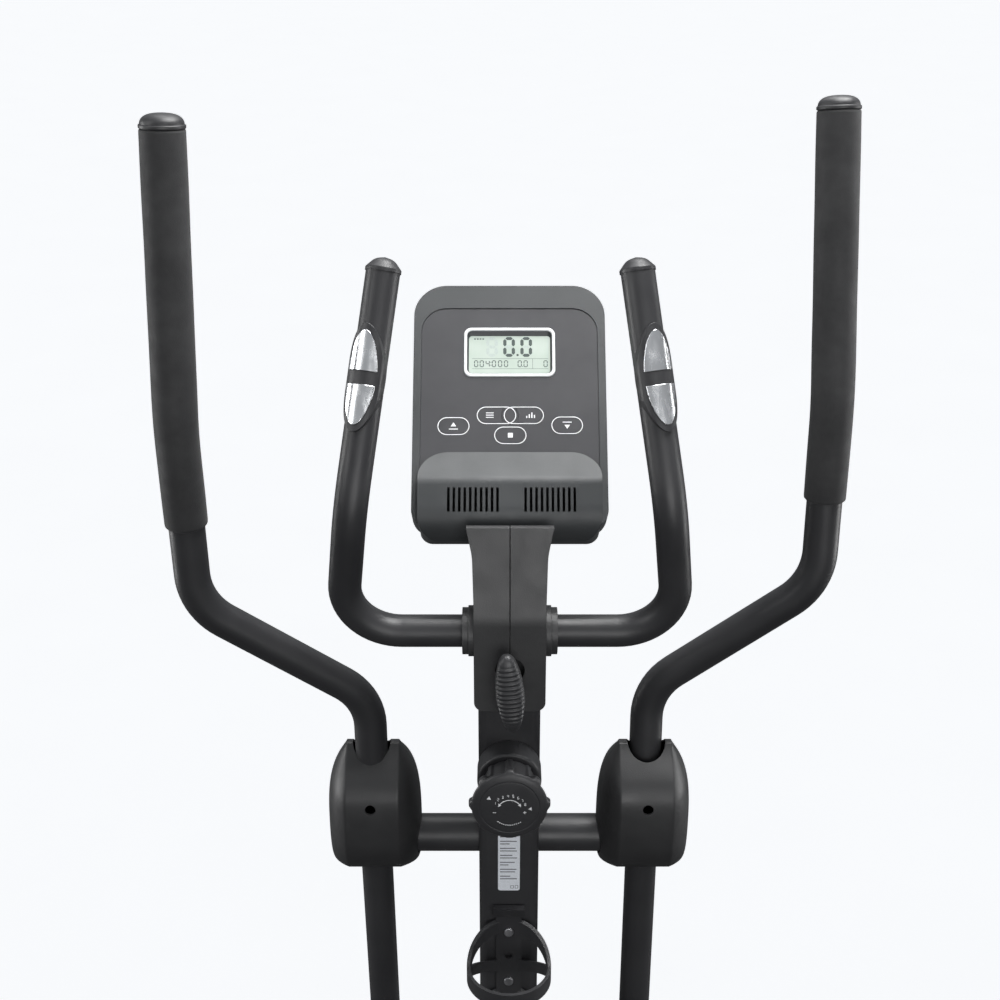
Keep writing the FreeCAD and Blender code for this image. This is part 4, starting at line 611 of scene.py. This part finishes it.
def rounded_outline(x_range, y_range, radius, steps=8):
    """The corners and arcs of a rounded rectangle, anticlockwise, as (x, y) pairs."""
    (x0, x1), (y0, y1) = x_range, y_range
    radius = min(radius, (x1 - x0) / 2, (y1 - y0) / 2)
    outline = []
    corners = ((x1 - radius, y0 + radius, -90), (x1 - radius, y1 - radius, 0),
               (x0 + radius, y1 - radius, 90), (x0 + radius, y0 + radius, 180))
    for centre_x, centre_y, start in corners:
        for step in range(steps + 1):
            turn = math.radians(start + 90 * step / steps)
            outline.append((centre_x + radius * math.cos(turn), centre_y + radius * math.sin(turn)))
    return outline


def grown(x_range, y_range, radius, growth):
    """A rounded rectangle's outline, larger all round by a growth, or smaller if that is negative."""
    return rounded_outline((x_range[0] - growth, x_range[1] + growth),
                           (y_range[0] - growth, y_range[1] + growth), radius + growth)


def circle_outline(centre, radius, steps):
    """A circle as (x, y) pairs."""
    return [(centre[0] + radius * math.cos(2 * math.pi * i / steps),
             centre[1] + radius * math.sin(2 * math.pi * i / steps)) for i in range(steps)]


def add_plate(work, outline, place, low, high):
    """A thin closed plate; place turns (x, y, height) into a point."""
    add_stack(work, [[work.verts.new(place(x, y, height)) for x, y in outline] for height in (low, high)])


def add_hoop(work, rows, place):
    """A closed hoop through (outline, height) rows of equal length."""
    rings = [[work.verts.new(place(x, y, height)) for x, y in outline] for outline, height in rows]
    for first, second in zip(rings, rings[1:] + rings[:1]):
        bridge(work, first, second)


def add_band(work, outer, inner, place, low, high):
    """A thin closed ring between two outlines of equal length."""
    add_hoop(work, ((outer, low), (outer, high), (inner, high), (inner, low)), place)


def add_print(name, node, ink, outlines, place, low, high):
    """Thin plates that lie on a surface, as one piece."""
    def build(work):
        for outline in outlines:
            add_plate(work, outline, place, low, high)

    add_piece(name, mesh_from(build, name), node, ink)


def stroke_outline(start, end, width):
    """A straight printed line as a rectangle."""
    (x0, y0), (x1, y1) = start, end
    length = math.hypot(x1 - x0, y1 - y0)
    side_x, side_y = -(y1 - y0) / length * width / 2, (x1 - x0) / length * width / 2
    return [(x0 + side_x, y0 + side_y), (x0 - side_x, y0 - side_y), (x1 - side_x, y1 - side_y),
            (x1 + side_x, y1 + side_y)]


def segment_bars(centre, width, height, thickness, lit):
    """The named bars of a seven-segment digit, as six-sided outlines."""
    x0, y0 = centre
    half_w, half_h = width / 2, height / 2
    runs = {
        "a": ((-half_w, half_h), (half_w, half_h)), "b": ((half_w, half_h), (half_w, 0)),
        "c": ((half_w, 0), (half_w, -half_h)), "d": ((-half_w, -half_h), (half_w, -half_h)),
        "e": ((-half_w, 0), (-half_w, -half_h)), "f": ((-half_w, half_h), (-half_w, 0)),
        "g": ((-half_w, 0), (half_w, 0)),
    }
    bars = []
    gap = thickness * SEGMENT_GAP
    half = thickness / 2
    for name in lit:
        (ax, ay), (bx, by) = runs[name]
        length = math.hypot(bx - ax, by - ay)
        ux, uy = (bx - ax) / length, (by - ay) / length
        ends = [(gap, 0), (gap + half, half), (length - gap - half, half), (length - gap, 0),
                (length - gap - half, -half), (gap + half, -half)]
        bars.append([(x0 + ax + ux * along - uy * aside, y0 + ay + uy * along + ux * aside)
                     for along, aside in ends])
    return bars


# ---------- console graphics

BUTTON_OVALS = {  # across range and up range on the face, millimetres
    "up_button": ((-67, -37.6), (-81.8, -64.8)),
    "mode_button": ((-30.5, 5.9), (-71, -54.3)),
    "program_button": ((-5.3, 31.7), (-71, -54.3)),
    "reset_button": ((-14.2, 15.4), (-90.6, -74)),
    "down_button": ((39, 68), (-80.8, -64.1)),
}
PANEL_OUT = -0.8  # the panel's surface, below the shell's rim
KEY_OUT = -0.5  # the keys' surface
GLASS_OUT = -3.3  # the display glass behind its frame
GLASS_FRONT = -3.25
INK_FILM = 0.06
OVAL_OUTSIDE = 0.15  # how far an oval's line reaches out and in
OVAL_INSIDE = 0.6
RIM_HALF_WIDTH = 43  # the bright rim round the display
RIM_LOW = -24.5
RIM_HIGH = 24.7
RIM_CORNER = 7
RIM_ROWS = (  # inset from the rim's outside and height out of the face
    (0.0, -3.2), (0.0, 0.0), (0.35, 0.45), (0.9, 0.6), (2.1, 0.6), (2.6, 0.45), (2.9, 0.0), (2.9, -3.2))
WELL_EDGE = ((-40.2, 40.2), (-21.7, 21.9), 5)  # across, up and corner radius of the well
# the foot sits lower along the top, so the well's band of painted shade is widest there
WELL_FOOT = ((-38.4, 38.4), (-20.0, 17.6), 3)
LARGE_DIGIT = (8.0, 17.0, 3.1)  # width, height and thickness of the bars
SMALL_DIGIT = (3.1, 6.0, 0.85)
LARGE_PLACES = ((-0.4, 6.6), (15.8, 6.6))
LARGE_DOT = (7.6, -1.6)
IDLE_PLACE = (-16.6, 6.6)
SMALL_PLACES = (-31.5, -26.2, -20.6, -14.7, -8.9, -3.3, 9.6, 15.2, 34.0)
SMALL_READING = "004000000"
SMALL_UP = -10.4
SMALL_DOTS = ((12.4, -13.2), (-17.6, -8.9), (-17.6, -11.9))
MARK_STARTS = (-33.5, -30.9, -28.3, -25.7)  # a row of short marks near the top
MARK_UP = 14.6
DISPLAY_LINES = (  # start and end of the thin dividing lines
    ((-35.5, -5.3), (36.5, -5.3)), ((21.8, -5.3), (21.8, -15.4)), ((-35.5, -15.4), (36.5, -15.4)))


def button_outlines():
    """The printed white ovals round the keys, on the fixed panel."""
    def build(work):
        for x_range, y_range in BUTTON_OVALS.values():
            radius = (y_range[1] - y_range[0]) / 2
            add_band(work, grown(x_range, y_range, radius, OVAL_OUTSIDE),
                     grown(x_range, y_range, radius, -OVAL_INSIDE), face_point, PANEL_OUT,
                     PANEL_OUT + INK_FILM)

    add_piece("button_outlines", mesh_from(build, "button_outlines"), "console_front_panel", WHITE_INK)


UP_SYMBOL = [[(-2.6, -0.4), (2.6, -0.4), (0, 3.6)], stroke_outline((-4.2, -3.0), (4.2, -3.0), 0.9)]
DOWN_SYMBOL = [[(x, -y) for x, y in outline[::-1]] for outline in UP_SYMBOL]
LIST_SYMBOL = [stroke_outline((-3.6, rise), (3.6, rise), 0.8) for rise in (-2.2, 0, 2.2)]
COLUMNS_SYMBOL = [stroke_outline((shift, -2.8), (shift, rise - 2.8), 1.1)
                  for shift, rise in ((-3.6, 2.0), (-1.2, 3.6), (1.2, 5.4), (3.6, 3.0))]
STOP_SYMBOL = [rounded_outline((-2.3, 2.3), (-2.3, 2.3), 0.4, 3)]
BUTTON_SYMBOLS = {  # the middle of each key's symbol, across and up, and its outlines
    "up_button": (-52.3, -73.3, UP_SYMBOL),
    "mode_button": (-18.5, -62.6, LIST_SYMBOL),
    "program_button": (19.5, -62.6, COLUMNS_SYMBOL),
    "reset_button": (0.6, -82.3, STOP_SYMBOL),
    "down_button": (53.5, -72.5, DOWN_SYMBOL),
}


def button_symbols():
    """A plain symbol on each key, riding on its button."""
    for node, (across, up, outlines) in BUTTON_SYMBOLS.items():
        placed = [[(across + x, up + y) for x, y in outline] for outline in outlines]
        add_print(f"{node}_symbol", node, WHITE_INK, placed, face_point, KEY_OUT, KEY_OUT + INK_FILM)


def rim_outline(inset):
    """The outline of the display's rim, drawn in by an inset."""
    return rounded_outline((inset - RIM_HALF_WIDTH, RIM_HALF_WIDTH - inset),
                           (inset + RIM_LOW, RIM_HIGH - inset), RIM_CORNER - inset * 0.7)


def display_frame():
    """A slim bright rim round the display, and inside it a sloping well coloured dark as painted shade of
    the recess, widest along the top.
    """
    node = "lcd_bezel"
    rim_rows = [(rim_outline(inset), out) for inset, out in RIM_ROWS]
    edge = rounded_outline(*WELL_EDGE)
    foot = rounded_outline(*WELL_FOOT)
    well_rows = ((edge, -0.7), (foot, -3.1), (foot, -3.25), (edge, -3.25))
    mesh = mesh_from(lambda work: add_hoop(work, rim_rows, face_point), "display_rim")
    smooth_by_angle(mesh, 60)
    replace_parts(add_piece("display_rim", mesh, node), node)
    well = mesh_from(lambda work: add_hoop(work, well_rows, face_point), "display_well")
    add_piece("display_well", well, node, WELL_SHADE_PAINT)


def display_digits():
    """The display's large reading, its row of small ones and thin dividing lines."""
    lit = []
    for centre in LARGE_PLACES:
        lit += segment_bars(centre, *LARGE_DIGIT, DIGIT_BARS["0"])
    lit.append(circle_outline(LARGE_DOT, 1.15, 12))
    for across, digit in zip(SMALL_PLACES, SMALL_READING):
        lit += segment_bars((across, SMALL_UP), *SMALL_DIGIT, DIGIT_BARS[digit])
    lit += [circle_outline(centre, 0.45, 10) for centre in SMALL_DOTS]
    lit += [stroke_outline(start, end, 0.3) for start, end in DISPLAY_LINES]
    lit += [stroke_outline((start, MARK_UP), (start + 1.7, MARK_UP), 1.2) for start in MARK_STARTS]
    add_print("display_digits", "lcd_screen", DARK_INK, lit, face_point, GLASS_OUT, GLASS_FRONT)

    idle = segment_bars(IDLE_PLACE, *LARGE_DIGIT, DIGIT_BARS["8"])
    for centre in LARGE_PLACES:
        idle += segment_bars(centre, *LARGE_DIGIT, "g")
    add_print("display_idle_digits", "lcd_screen", FAINT_INK, idle, face_point, GLASS_OUT, GLASS_FRONT)


# ---------- tension knob print and mast label

ARROW_RADIUS = 11.3  # the printed arc arrow, millimetres and degrees
ARROW_ENDS = (36, 144)
NUMBER_RADIUS = 16.0
NUMBER_SIZE = (1.3, 2.6, 0.5)
SIGN_ACROSS = 14.2  # the plus sign's middle; the minus sign mirrors it
SIGN_UP = -2.6
SIGN_HALF = 1.6
PRINT_DROP = 2.5  # the print's middle lies this far under the knob's axis


def around(radius, degrees):
    """A point on a circle, anticlockwise from the right."""
    turn = math.radians(degrees)
    return radius * math.cos(turn), radius * math.sin(turn)


def arc_strokes(radius, first, last, step, width, share=1.0):
    """Short straight strokes along an arc; a share below 1 leaves gaps between them."""
    strokes = []
    for start in range(first, last, step):
        strokes.append(stroke_outline(around(radius, start), around(radius, start + step * share), width))
    return strokes


def pointer(radius, degrees, length, half_angle):
    """A triangle on a circle that points to the middle."""
    return [around(radius, degrees), around(radius + length, degrees - half_angle),
            around(radius + length, degrees + half_angle)]


def arrow_head(radius, degrees, half_width, turn):
    """A triangle at the end of an arc that points along it."""
    return [around(radius, degrees + 16 * turn), around(radius + half_width, degrees),
            around(radius - half_width, degrees)]


def dial_outlines():
    """Everything printed on the dial: arc arrow, numbers, pointers, minus, plus and a dashed arc."""
    start, end = ARROW_ENDS
    outlines = arc_strokes(ARROW_RADIUS, start, end, 4, 0.8)
    outlines += [arrow_head(ARROW_RADIUS, start, 1.7, -1), arrow_head(ARROW_RADIUS, end, 1.7, 1)]
    outlines += [pointer(21.0, 146, 3.6, 5), pointer(17.5, 4, 3.2, 5.5)]
    for digit, angle in zip("12345678", range(150, 23, -18)):
        outlines += segment_bars(around(NUMBER_RADIUS, angle), *NUMBER_SIZE, DIGIT_BARS[digit])
    for across in (-SIGN_ACROSS, SIGN_ACROSS):
        outlines.append(stroke_outline((across - SIGN_HALF, SIGN_UP), (across + SIGN_HALF, SIGN_UP), 0.6))
    upright = (SIGN_ACROSS, SIGN_UP - SIGN_HALF), (SIGN_ACROSS, SIGN_UP + SIGN_HALF)
    outlines.append(stroke_outline(*upright, 0.6))
    return outlines + arc_strokes(17.0, 228, 312, 7, 1.0, 0.55)


def dial_print(tree):
    """The scale on the tension knob's face, laid on its surface."""
    node = "tension_knob"
    centre = Vector(JOINTS["tension_knob_turn"]["pos_m"]) - Z_AXIS * (PRINT_DROP * MM)

    def place(x, z, height):
        start = Vector((centre.x + x * MM, cad_low.y - 1, centre.z + z * MM))
        hit = tree.ray_cast(start, Y_AXIS)[0]
        return hit - Y_AXIS * (height * MM)

    add_print("tension_dial_print", node, WHITE_INK, dial_outlines(), place, -0.02, INK_FILM)


LABEL_HALF_WIDTH = 11  # the sticker, millimetres; heights are above the floor
LABEL_HEIGHTS = (830, 915)
LABEL_PAPER_OUT = 0.12
LABEL_INK_OUT = 0.14
LABEL_LINE_START = -9
LABEL_TOP_LINE = 908
LABEL_LINE_PITCH = 3.2
LABEL_PAIR_GAP = 2.2  # more room after every second line
LABEL_LINES = (17.2, 11.0, 17.4, 16.0, 16.8, 9.5, 15.6, 17.0, 12.4, 17.2, 14.8, 8.6, 16.6, 15.2, 10.4,
               17.0)


def mast_label():
    """A sticker on the mast: pale paper with short grey lines and two small squares."""
    node = "mast"
    tube_face = MAST_Y - 30 * MM

    def place(x, z, height):
        return Vector((x * MM, tube_face - height * MM, z * MM))

    def marks(work):
        for row, width in enumerate(LABEL_LINES):
            z = LABEL_TOP_LINE - LABEL_LINE_PITCH * row - (row // 2) * LABEL_PAIR_GAP
            line = stroke_outline((LABEL_LINE_START, z), (LABEL_LINE_START + width, z), 1.1)
            add_plate(work, line, place, LABEL_PAPER_OUT, LABEL_INK_OUT)
        for left in (1.6, 6.0):
            outer = rounded_outline((left, left + 3.4), (832.6, 836.4), 0.4, 2)
            inner = rounded_outline((left + 0.5, left + 2.9), (833.1, 835.9), 0.2, 2)
            add_band(work, outer, inner, place, LABEL_PAPER_OUT, LABEL_INK_OUT)

    paper = rounded_outline((-LABEL_HALF_WIDTH, LABEL_HALF_WIDTH), LABEL_HEIGHTS, 2.5, 5)
    add_print("mast_label", node, LABEL_PAPER, [paper], place, 0.0, LABEL_PAPER_OUT)
    add_piece("mast_label_marks", mesh_from(marks, "mast_label_marks"), node, LABEL_INK)


# ---------- pivot covers

SWING_Z = JOINTS["left_arm_swing"]["pos_m"][2]
ARM_X = 136 * MM
COVER_X = 135 * MM
COVER_PANEL = 26  # half width of the flat panel, millimetres
COVER_WALL = 2.5
COVER_CREASE = math.radians(32)  # the turn between the panel and the bowed side
COVER_ROWS = 70
COVER_SIDE_STEPS = 14
SCREW_RISE = 59  # from the swing axis up to the screw hole
HANDLE_HOLE = 19  # radii of the holes
ARM_HOLE = 18
TUBE_HOLE = 20.5
SCREW_HOLE = 5.3
SEAM_OUTLINE = ((-60, 840), (60, 840), (60, 1010), (-60, 1010))
SEAM_HALF = 0.2
COVER_DEPTHS = (  # height above the floor and half depth, millimetres
    (849, 6), (850.5, 15), (854, 22), (858, 28), (863, 34), (870, 39.5), (880, 44), (890, 46),
    (905, 46.8), (920, 46.8), (935, 46), (947, 44), (956, 40), (963.5, 34.5), (970, 27.5), (976, 20),
    (981, 13.5), (986, 7.5), (989.5, 4))
COVER_WIDTHS = (  # height above the floor and half width, millimetres
    (849, 37), (850.5, 41), (854, 43.6), (863, 45.4), (880, 46.4), (905, 46.6), (925, 46.2), (940, 45),
    (952, 43), (963, 39.8), (974, 35), (984, 29.4), (989.5, 26))


def cover_section(height, inset):
    """A level section of a pivot cover: a flat panel front and back with bowed sides between them."""
    depth = along_curve(COVER_DEPTHS, height) - inset
    width = along_curve(COVER_WIDTHS, height) - inset
    panel = min(COVER_PANEL, width - 0.4)
    quarter = [(panel * share, -depth) for share in (0, 0.25, 0.5, 0.75, 0.94, 1)]
    for step in range(1, COVER_SIDE_STEPS + 1):
        turn = COVER_CREASE + (math.pi / 2 - COVER_CREASE) * (step / COVER_SIDE_STEPS) ** 1.15
        bow = (math.sin(turn) - math.sin(COVER_CREASE)) / (1 - math.sin(COVER_CREASE))
        quarter.append((panel + (width - panel) * bow, -depth * math.cos(turn) / math.cos(COVER_CREASE)))
    half = quarter + [(x, -y) for x, y in quarter[-2::-1]]
    return half + [(-x, y) for x, y in half[-2:0:-1]]


def cover_bulk(side, inset):
    """The closed bulk of a pivot cover, made smaller by an inset for its inside."""
    low = COVER_WIDTHS[0][0] + inset
    high = COVER_WIDTHS[-1][0] - inset
    heights = [low, low + 0.7, low + 1.6]
    heights += [low + 2.5 + (high - low - 4) * row / COVER_ROWS for row in range(COVER_ROWS + 1)]
    heights += [high - 0.7, high]

    def build(work):
        add_stack(work, [[work.verts.new((side * (COVER_X + x * MM), MAST_Y + y * MM, height * MM))
                          for x, y in cover_section(height, inset)] for height in heights])

    return mesh_from(build, "pivot_cover_bulk")


def cover_seam(side):
    """The thin upright slab that parts a pivot cover's front shell from its back shell."""
    def place(x, z, y):
        return Vector((side * (COVER_X + x * MM), MAST_Y + y * MM, z * MM))

    return mesh_from(lambda work: add_plate(work, SEAM_OUTLINE, place, -SEAM_HALF, SEAM_HALF), "seam")


def pivot_cover(side_name, side):
    """Two bowed half shells with holes for the handle, the arm, the cross tube and a screw."""
    node = f"{side_name}_pivot_cover"
    piece = add_piece(f"{node}_bowed", cover_bulk(side, 0), node)
    pivot = Vector((side * ARM_X, MAST_Y, SWING_Z))
    arm = section_centre(f"{side_name}_lower_arm", SWING_Z - 60 * MM)
    tube_start, tube_end = (Vector((side * x * MM, MAST_Y, SWING_Z)) for x in (70, 112))
    screw = pivot + Z_AXIS * (SCREW_RISE * MM)
    carve(piece, [
        cover_bulk(side, COVER_WALL),
        rod_mesh(pivot + Z_AXIS * (75 * MM), pivot + Z_AXIS * (140 * MM), HANDLE_HOLE * MM),
        rod_mesh(pivot.lerp(arm, 0.25), arm, ARM_HOLE * MM),
        rod_mesh(tube_start, tube_end, TUBE_HOLE * MM),
        rod_mesh(screw - Y_AXIS * (60 * MM), screw - Y_AXIS * (35 * MM), SCREW_HOLE * MM, 32),
        cover_seam(side),
    ])
    smooth_by_angle(piece.data, 50)
    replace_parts(piece, node)


# ---------- tension knob

DIAL_ROWS = (  # distance from the back, radius on a rib, radius between ribs, millimetres
    (0.0, 25.6, 24.4), (0.5, 26.9, 25.0), (8.0, 27.4, 25.0), (17.0, 28.0, 25.0), (21.5, 29.4, 25.2),
    (25.0, 32.6, 26.2), (28.0, 36.4, 28.2), (30.5, 38.2, 30.8), (33.0, 38.5, 33.6), (35.3, 38.1, 35.6),
    (37.4, 36.8, 36.0), (39.2, 34.2, 34.0), (40.1, 31.4, 31.4), (40.6, 28.6, 28.6), (40.2, 28.0, 28.0),
    (40.6, 27.4, 27.4), (41.2, 20.0, 20.0), (41.6, 10.0, 10.0), (41.7, 1.0, 1.0))
DIAL_RIBS = 8
DIAL_BORE = 6.05  # radius and depth of the hole for its shaft
DIAL_BORE_DEPTH = 21
DIAL_SIDES = 240
DIAL_FINENESS = 3  # rings for each row of the table
RIB_HALF_ANGLE = 4.0  # degrees
RIB_FLANK = 5.5


def rib_share(turn):
    """How far a direction lies in a hollow between two ribs, from 0 on a rib to 1."""
    pitch = 2 * math.pi / DIAL_RIBS
    away = abs((turn + pitch / 2) % pitch - pitch / 2)
    share = min(1.0, max(0.0, (math.degrees(away) - RIB_HALF_ANGLE) / RIB_FLANK))
    return share * share * (3 - 2 * share)


def dial_radius(row, turn):
    """The knob's radius at a fractional row of its table, in a direction."""
    rib, hollow = (along_curve([(i, values[column]) for i, values in enumerate(DIAL_ROWS)], row)
                   for column in (1, 2))
    return rib + (hollow - rib) * rib_share(turn)


def tension_dial():
    """A ribbed barrel with a lobed rim and a domed face; returns a tree of its surface."""
    node = "tension_knob"
    centre = Vector(JOINTS["tension_knob_turn"]["pos_m"])
    back = Vector((centre.x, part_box(node)[1].y, centre.z))
    along_keys = [(i, values[0]) for i, values in enumerate(DIAL_ROWS)]
    rows = [i / DIAL_FINENESS for i in range((len(DIAL_ROWS) - 1) * DIAL_FINENESS + 1)]
    turns = [2 * math.pi * i / DIAL_SIDES for i in range(DIAL_SIDES)]
    bore = [DIAL_BORE] * DIAL_SIDES

    def build(work):
        def ring(along, radii):
            return [work.verts.new(back - Y_AXIS * (along * MM)
                                   + (X_AXIS * math.cos(turn) + Z_AXIS * math.sin(turn)) * (radius * MM))
                    for turn, radius in zip(turns, radii)]

        previous = ring(DIAL_BORE_DEPTH, bore)
        work.faces.new(previous)
        stations = [(0.0, bore)]
        stations += [(along_curve(along_keys, row), [dial_radius(row, turn) for turn in turns])
                     for row in rows]
        for along, radii in stations:
            following = ring(along, radii)
            bridge(work, previous, following)
            previous = following
        work.faces.new(previous)

    mesh = mesh_from(build, "tension_dial")
    smooth_by_angle(mesh, 50)
    piece = add_piece("tension_dial", mesh, node)
    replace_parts(piece, node)
    return BVHTree.FromPolygons([v.co for v in mesh.vertices], [tuple(p.vertices) for p in mesh.polygons])


# ---------- clamp knob

KNOB_HALF_LENGTH = 40.0  # millimetres
KNOB_RIB_PITCH = 4.6
KNOB_STAND = 13  # from the knob's joint to the handle's middle, towards the user
KNOB_DROP = 3.5
KNOB_LEAN = -5  # degrees
KNOB_SIDES = 40
KNOB_ROWS = 150
KNOB_SHANK = ((-6, 0), (-6, 9), (3.2, 9), (4, 8.2), (4, 5))  # along the bolt, and radius
BOLT_RADIUS = 5


def knob_section(share, height):
    """Half width, half depth and groove depth of the T-knob at a share of its half length."""
    end_round = (1 - abs(share) ** 20) ** 0.5
    belly = 1 - share ** 2
    width = (4.4 + 8.8 * belly ** 0.85) * end_round
    depth = (4.4 + 6.6 * belly ** 0.7) * end_round
    ridge = 0.5 + 0.5 * math.cos(2 * math.pi * height / KNOB_RIB_PITCH)
    groove = 1.3 * (1 - ridge ** 0.7) * max(0.0, 1 - (abs(share) / 0.8) ** 5)
    return width, depth, groove


def squarer(value):
    """A sine or cosine made fuller, so that a round section turns a little square."""
    return math.copysign(abs(value) ** 0.8, value)


def clamp_knob():
    """A spindle-shaped T-knob with grip ribs across its user side, on its bolt."""
    node = "clamp_knob"
    place = Vector(JOINTS["clamp_knob_turn"]["pos_m"])
    middle = place - Y_AXIS * (KNOB_STAND * MM) - Z_AXIS * (KNOB_DROP * MM)
    lean = Matrix.Rotation(math.radians(KNOB_LEAN), 3, "Y")
    bolt_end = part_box(node)[1].y - place.y

    def handle_ring(work, share):
        height = KNOB_HALF_LENGTH * share
        width, depth, groove = knob_section(share, height)
        ring = []
        for step in range(KNOB_SIDES):
            turn = 2 * math.pi * step / KNOB_SIDES
            x = squarer(math.cos(turn))
            y = squarer(math.sin(turn))
            facing = max(0.0, -y) ** 0.6
            shrink = 1 - groove * facing / 11
            offset = Vector((x * width * shrink, y * depth * shrink, height))
            ring.append(work.verts.new(middle + lean @ (offset * MM)))
        return ring

    def build(work):
        add_stack(work, [handle_ring(work, -1 + 2 * row / KNOB_ROWS) for row in range(1, KNOB_ROWS)])
        shank = [(along * MM, radius * MM) for along, radius in KNOB_SHANK]
        shank += [(bolt_end, BOLT_RADIUS * MM), (bolt_end, 0)]
        lathe_rings(work, place, Y_AXIS, shank, KNOB_SIDES)

    mesh = mesh_from(build, "clamp_knob_ribbed")
    smooth_by_angle(mesh, 50)
    piece = add_piece("clamp_knob_ribbed", mesh, node)
    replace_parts(piece, node)


# ---------- camera, light and floor

CAMERA_PLACE = (-9 * MM, MAST_Y - 1.262, 1.813)
CAMERA_PITCH = 66  # degrees up from straight down
LIGHT_TARGET = (0, MAST_Y, 1.15)
SOFT_BOXES = (  # name, place, width and height, watts
    ("key_right", (0.6, 0.55, 3.2), (1.3, 1.3), 74),
    ("fill_left", (-2.1, -0.6, 2.3), (0.8, 2.0), 14),
    ("top_back", (0.2, 1.7, 3.4), (2.2, 1.2), 24),
    ("front", (0.7, -2.6, 1.5), (2.0, 1.4), 34),
    ("side_left", (-2.4, MAST_Y + 0.5, 1.1), (0.7, 2.2), 26),
    ("side_right", (2.4, MAST_Y + 0.5, 1.1), (0.7, 2.2), 26),
)
FLOOR_REACH = 30.0  # metres of flat floor, then of the curve up, then the wall's top
FLOOR_SWEEP = 12.0
WALL_TOP = 45.0
SWEEP_STEPS = 12
SKY_HEIGHTS = (-0.6, 0.9)  # directions, from below to above, between which the world brightens
SKY_STRENGTHS = (0.08, 0.42)


def add_camera():
    """The view of someone standing just behind the user, looking down a little."""
    data = bpy.data.cameras.new("view")
    data.sensor_width = 36
    data.lens = 54
    camera = bpy.data.objects.new("view", data)
    camera.location = CAMERA_PLACE
    camera.rotation_euler = (math.radians(CAMERA_PITCH), 0, 0)
    bpy.context.scene.collection.objects.link(camera)
    bpy.context.scene.camera = camera


def add_soft_box(name, place, size, power, unlit):
    """A light aimed at the console; the pieces in the unlit collection don't receive it."""
    data = bpy.data.lights.new(name, "AREA")
    data.shape = "RECTANGLE"
    data.size, data.size_y = size
    data.energy = power
    light = bpy.data.objects.new(name, data)
    light.location = place
    aim = Vector(LIGHT_TARGET) - Vector(place)
    light.rotation_euler = aim.to_track_quat("-Z", "Y").to_euler()
    light.light_linking.receiver_collection = unlit
    bpy.context.scene.collection.objects.link(light)


def floor_mesh():
    """A flat floor that sweeps up into a round wall far away."""
    profile = [(0, 0), (0, FLOOR_REACH)]
    for step in range(1, SWEEP_STEPS + 1):
        turn = math.radians(90 * step / SWEEP_STEPS)
        profile.append((FLOOR_SWEEP * (1 - math.cos(turn)), FLOOR_REACH + FLOOR_SWEEP * math.sin(turn)))
    profile.append((WALL_TOP, FLOOR_REACH + FLOOR_SWEEP))
    mesh = mesh_from(lambda work: lathe_rings(work, Vector(), Z_AXIS, profile, 96), "floor")
    mesh.shade_smooth()
    return mesh


def add_floor():
    """A wide pale floor that the soft boxes leave even, in a collection of its own."""
    mesh = floor_mesh()
    paint = new_material("pale_floor", (0.86, 0.87, 0.885), 0.85, Emission_Color=(0.985, 0.99, 1.0, 1),
                         Emission_Strength=0.66)
    tint(paint, 3, (0.855, 0.865, 0.88), (0.875, 0.885, 0.9))
    mesh.materials.append(paint)
    floor = bpy.data.objects.new("floor", mesh)
    floor.visible_diffuse = False
    floor.visible_glossy = False
    floor.visible_shadow = False
    bpy.context.scene.collection.objects.link(floor)
    unlit = bpy.data.collections.new("left_even")
    unlit.objects.link(floor)
    unlit.collection_objects[0].light_linking.link_state = "EXCLUDE"
    return unlit


def add_world():
    """Surroundings that are pale overhead and grey below."""
    world = bpy.data.worlds.new("studio")
    world.use_nodes = True
    tree = world.node_tree
    place = tree.nodes.new("ShaderNodeTexCoord")
    split = tree.nodes.new("ShaderNodeSeparateXYZ")
    tree.links.new(place.outputs["Generated"], split.inputs["Vector"])
    strength = map_range(tree, split.outputs["Z"], SKY_HEIGHTS, SKY_STRENGTHS)
    background = tree.nodes["Background"]
    background.inputs["Color"].default_value = (0.94, 0.97, 1.0, 1)
    tree.links.new(strength, background.inputs["Strength"])
    bpy.context.scene.world = world


def add_stage():
    """Pale floor, even surroundings and soft boxes on every side."""
    unlit = add_floor()
    add_world()
    bpy.context.scene.view_settings.view_transform = "Standard"
    for name, place, size, power in SOFT_BOXES:
        add_soft_box(name, place, size, power, unlit)


def paint_cad_nodes():
    """Give every CAD node that still shows its procedural material."""
    for node, piece in frame["nodes"].items():
        piece.data.materials.clear()
        piece.data.materials.append(MATERIALS[NODE_SLOTS[node]])


# ---------- the whole machine

HEAD_EDGE = 1.4  # millimetres of round on the mast head covers' edges
SOFT_EDGES = {  # and on each other hard-edged sub-part's
    "base_frame": 0.8, "mast": 0.9, "mast_base_cover": 1.5, "left_housing_shell": 0.5,
    "right_housing_shell": 0.5, "handlebar_saddle": 0.8, "tension_control_housing": 0.8,
    "bottle_cage": 0.7, "console_bracket": 0.4, "console_back_shell": 1.0, "console_front_panel": 0.3,
    "left_pedal": 1.0, "right_pedal": 1.0, "left_pedal_bar": 0.8, "right_pedal_bar": 0.8,
    "stabilizer_end_caps": 1.5, "crank_discs": 0.8, "frame_fasteners": 0.7, "cover_screws": 0.4,
    "pulse_sensor_housings": 0.4, "pulse_sensor_plates": 0.3,
}

paint_cad_nodes()
for soft_node, soft_width in SOFT_EDGES.items():
    softened(soft_node, soft_width)
# the head covers take the lighter copy of the cover plastic, which is painted light
for head_half in ("mast_head_cover_left", "mast_head_cover_right"):
    softened(head_half, HEAD_EDGE, LIT_HEAD_PLASTIC)
build_grips()
button_outlines()
button_symbols()
display_frame()
display_digits()
for cover_side_name, cover_side in SIDES:
    pivot_cover(cover_side_name, cover_side)
dial_print(tension_dial())
mast_label()
clamp_knob()
add_camera()
add_stage()
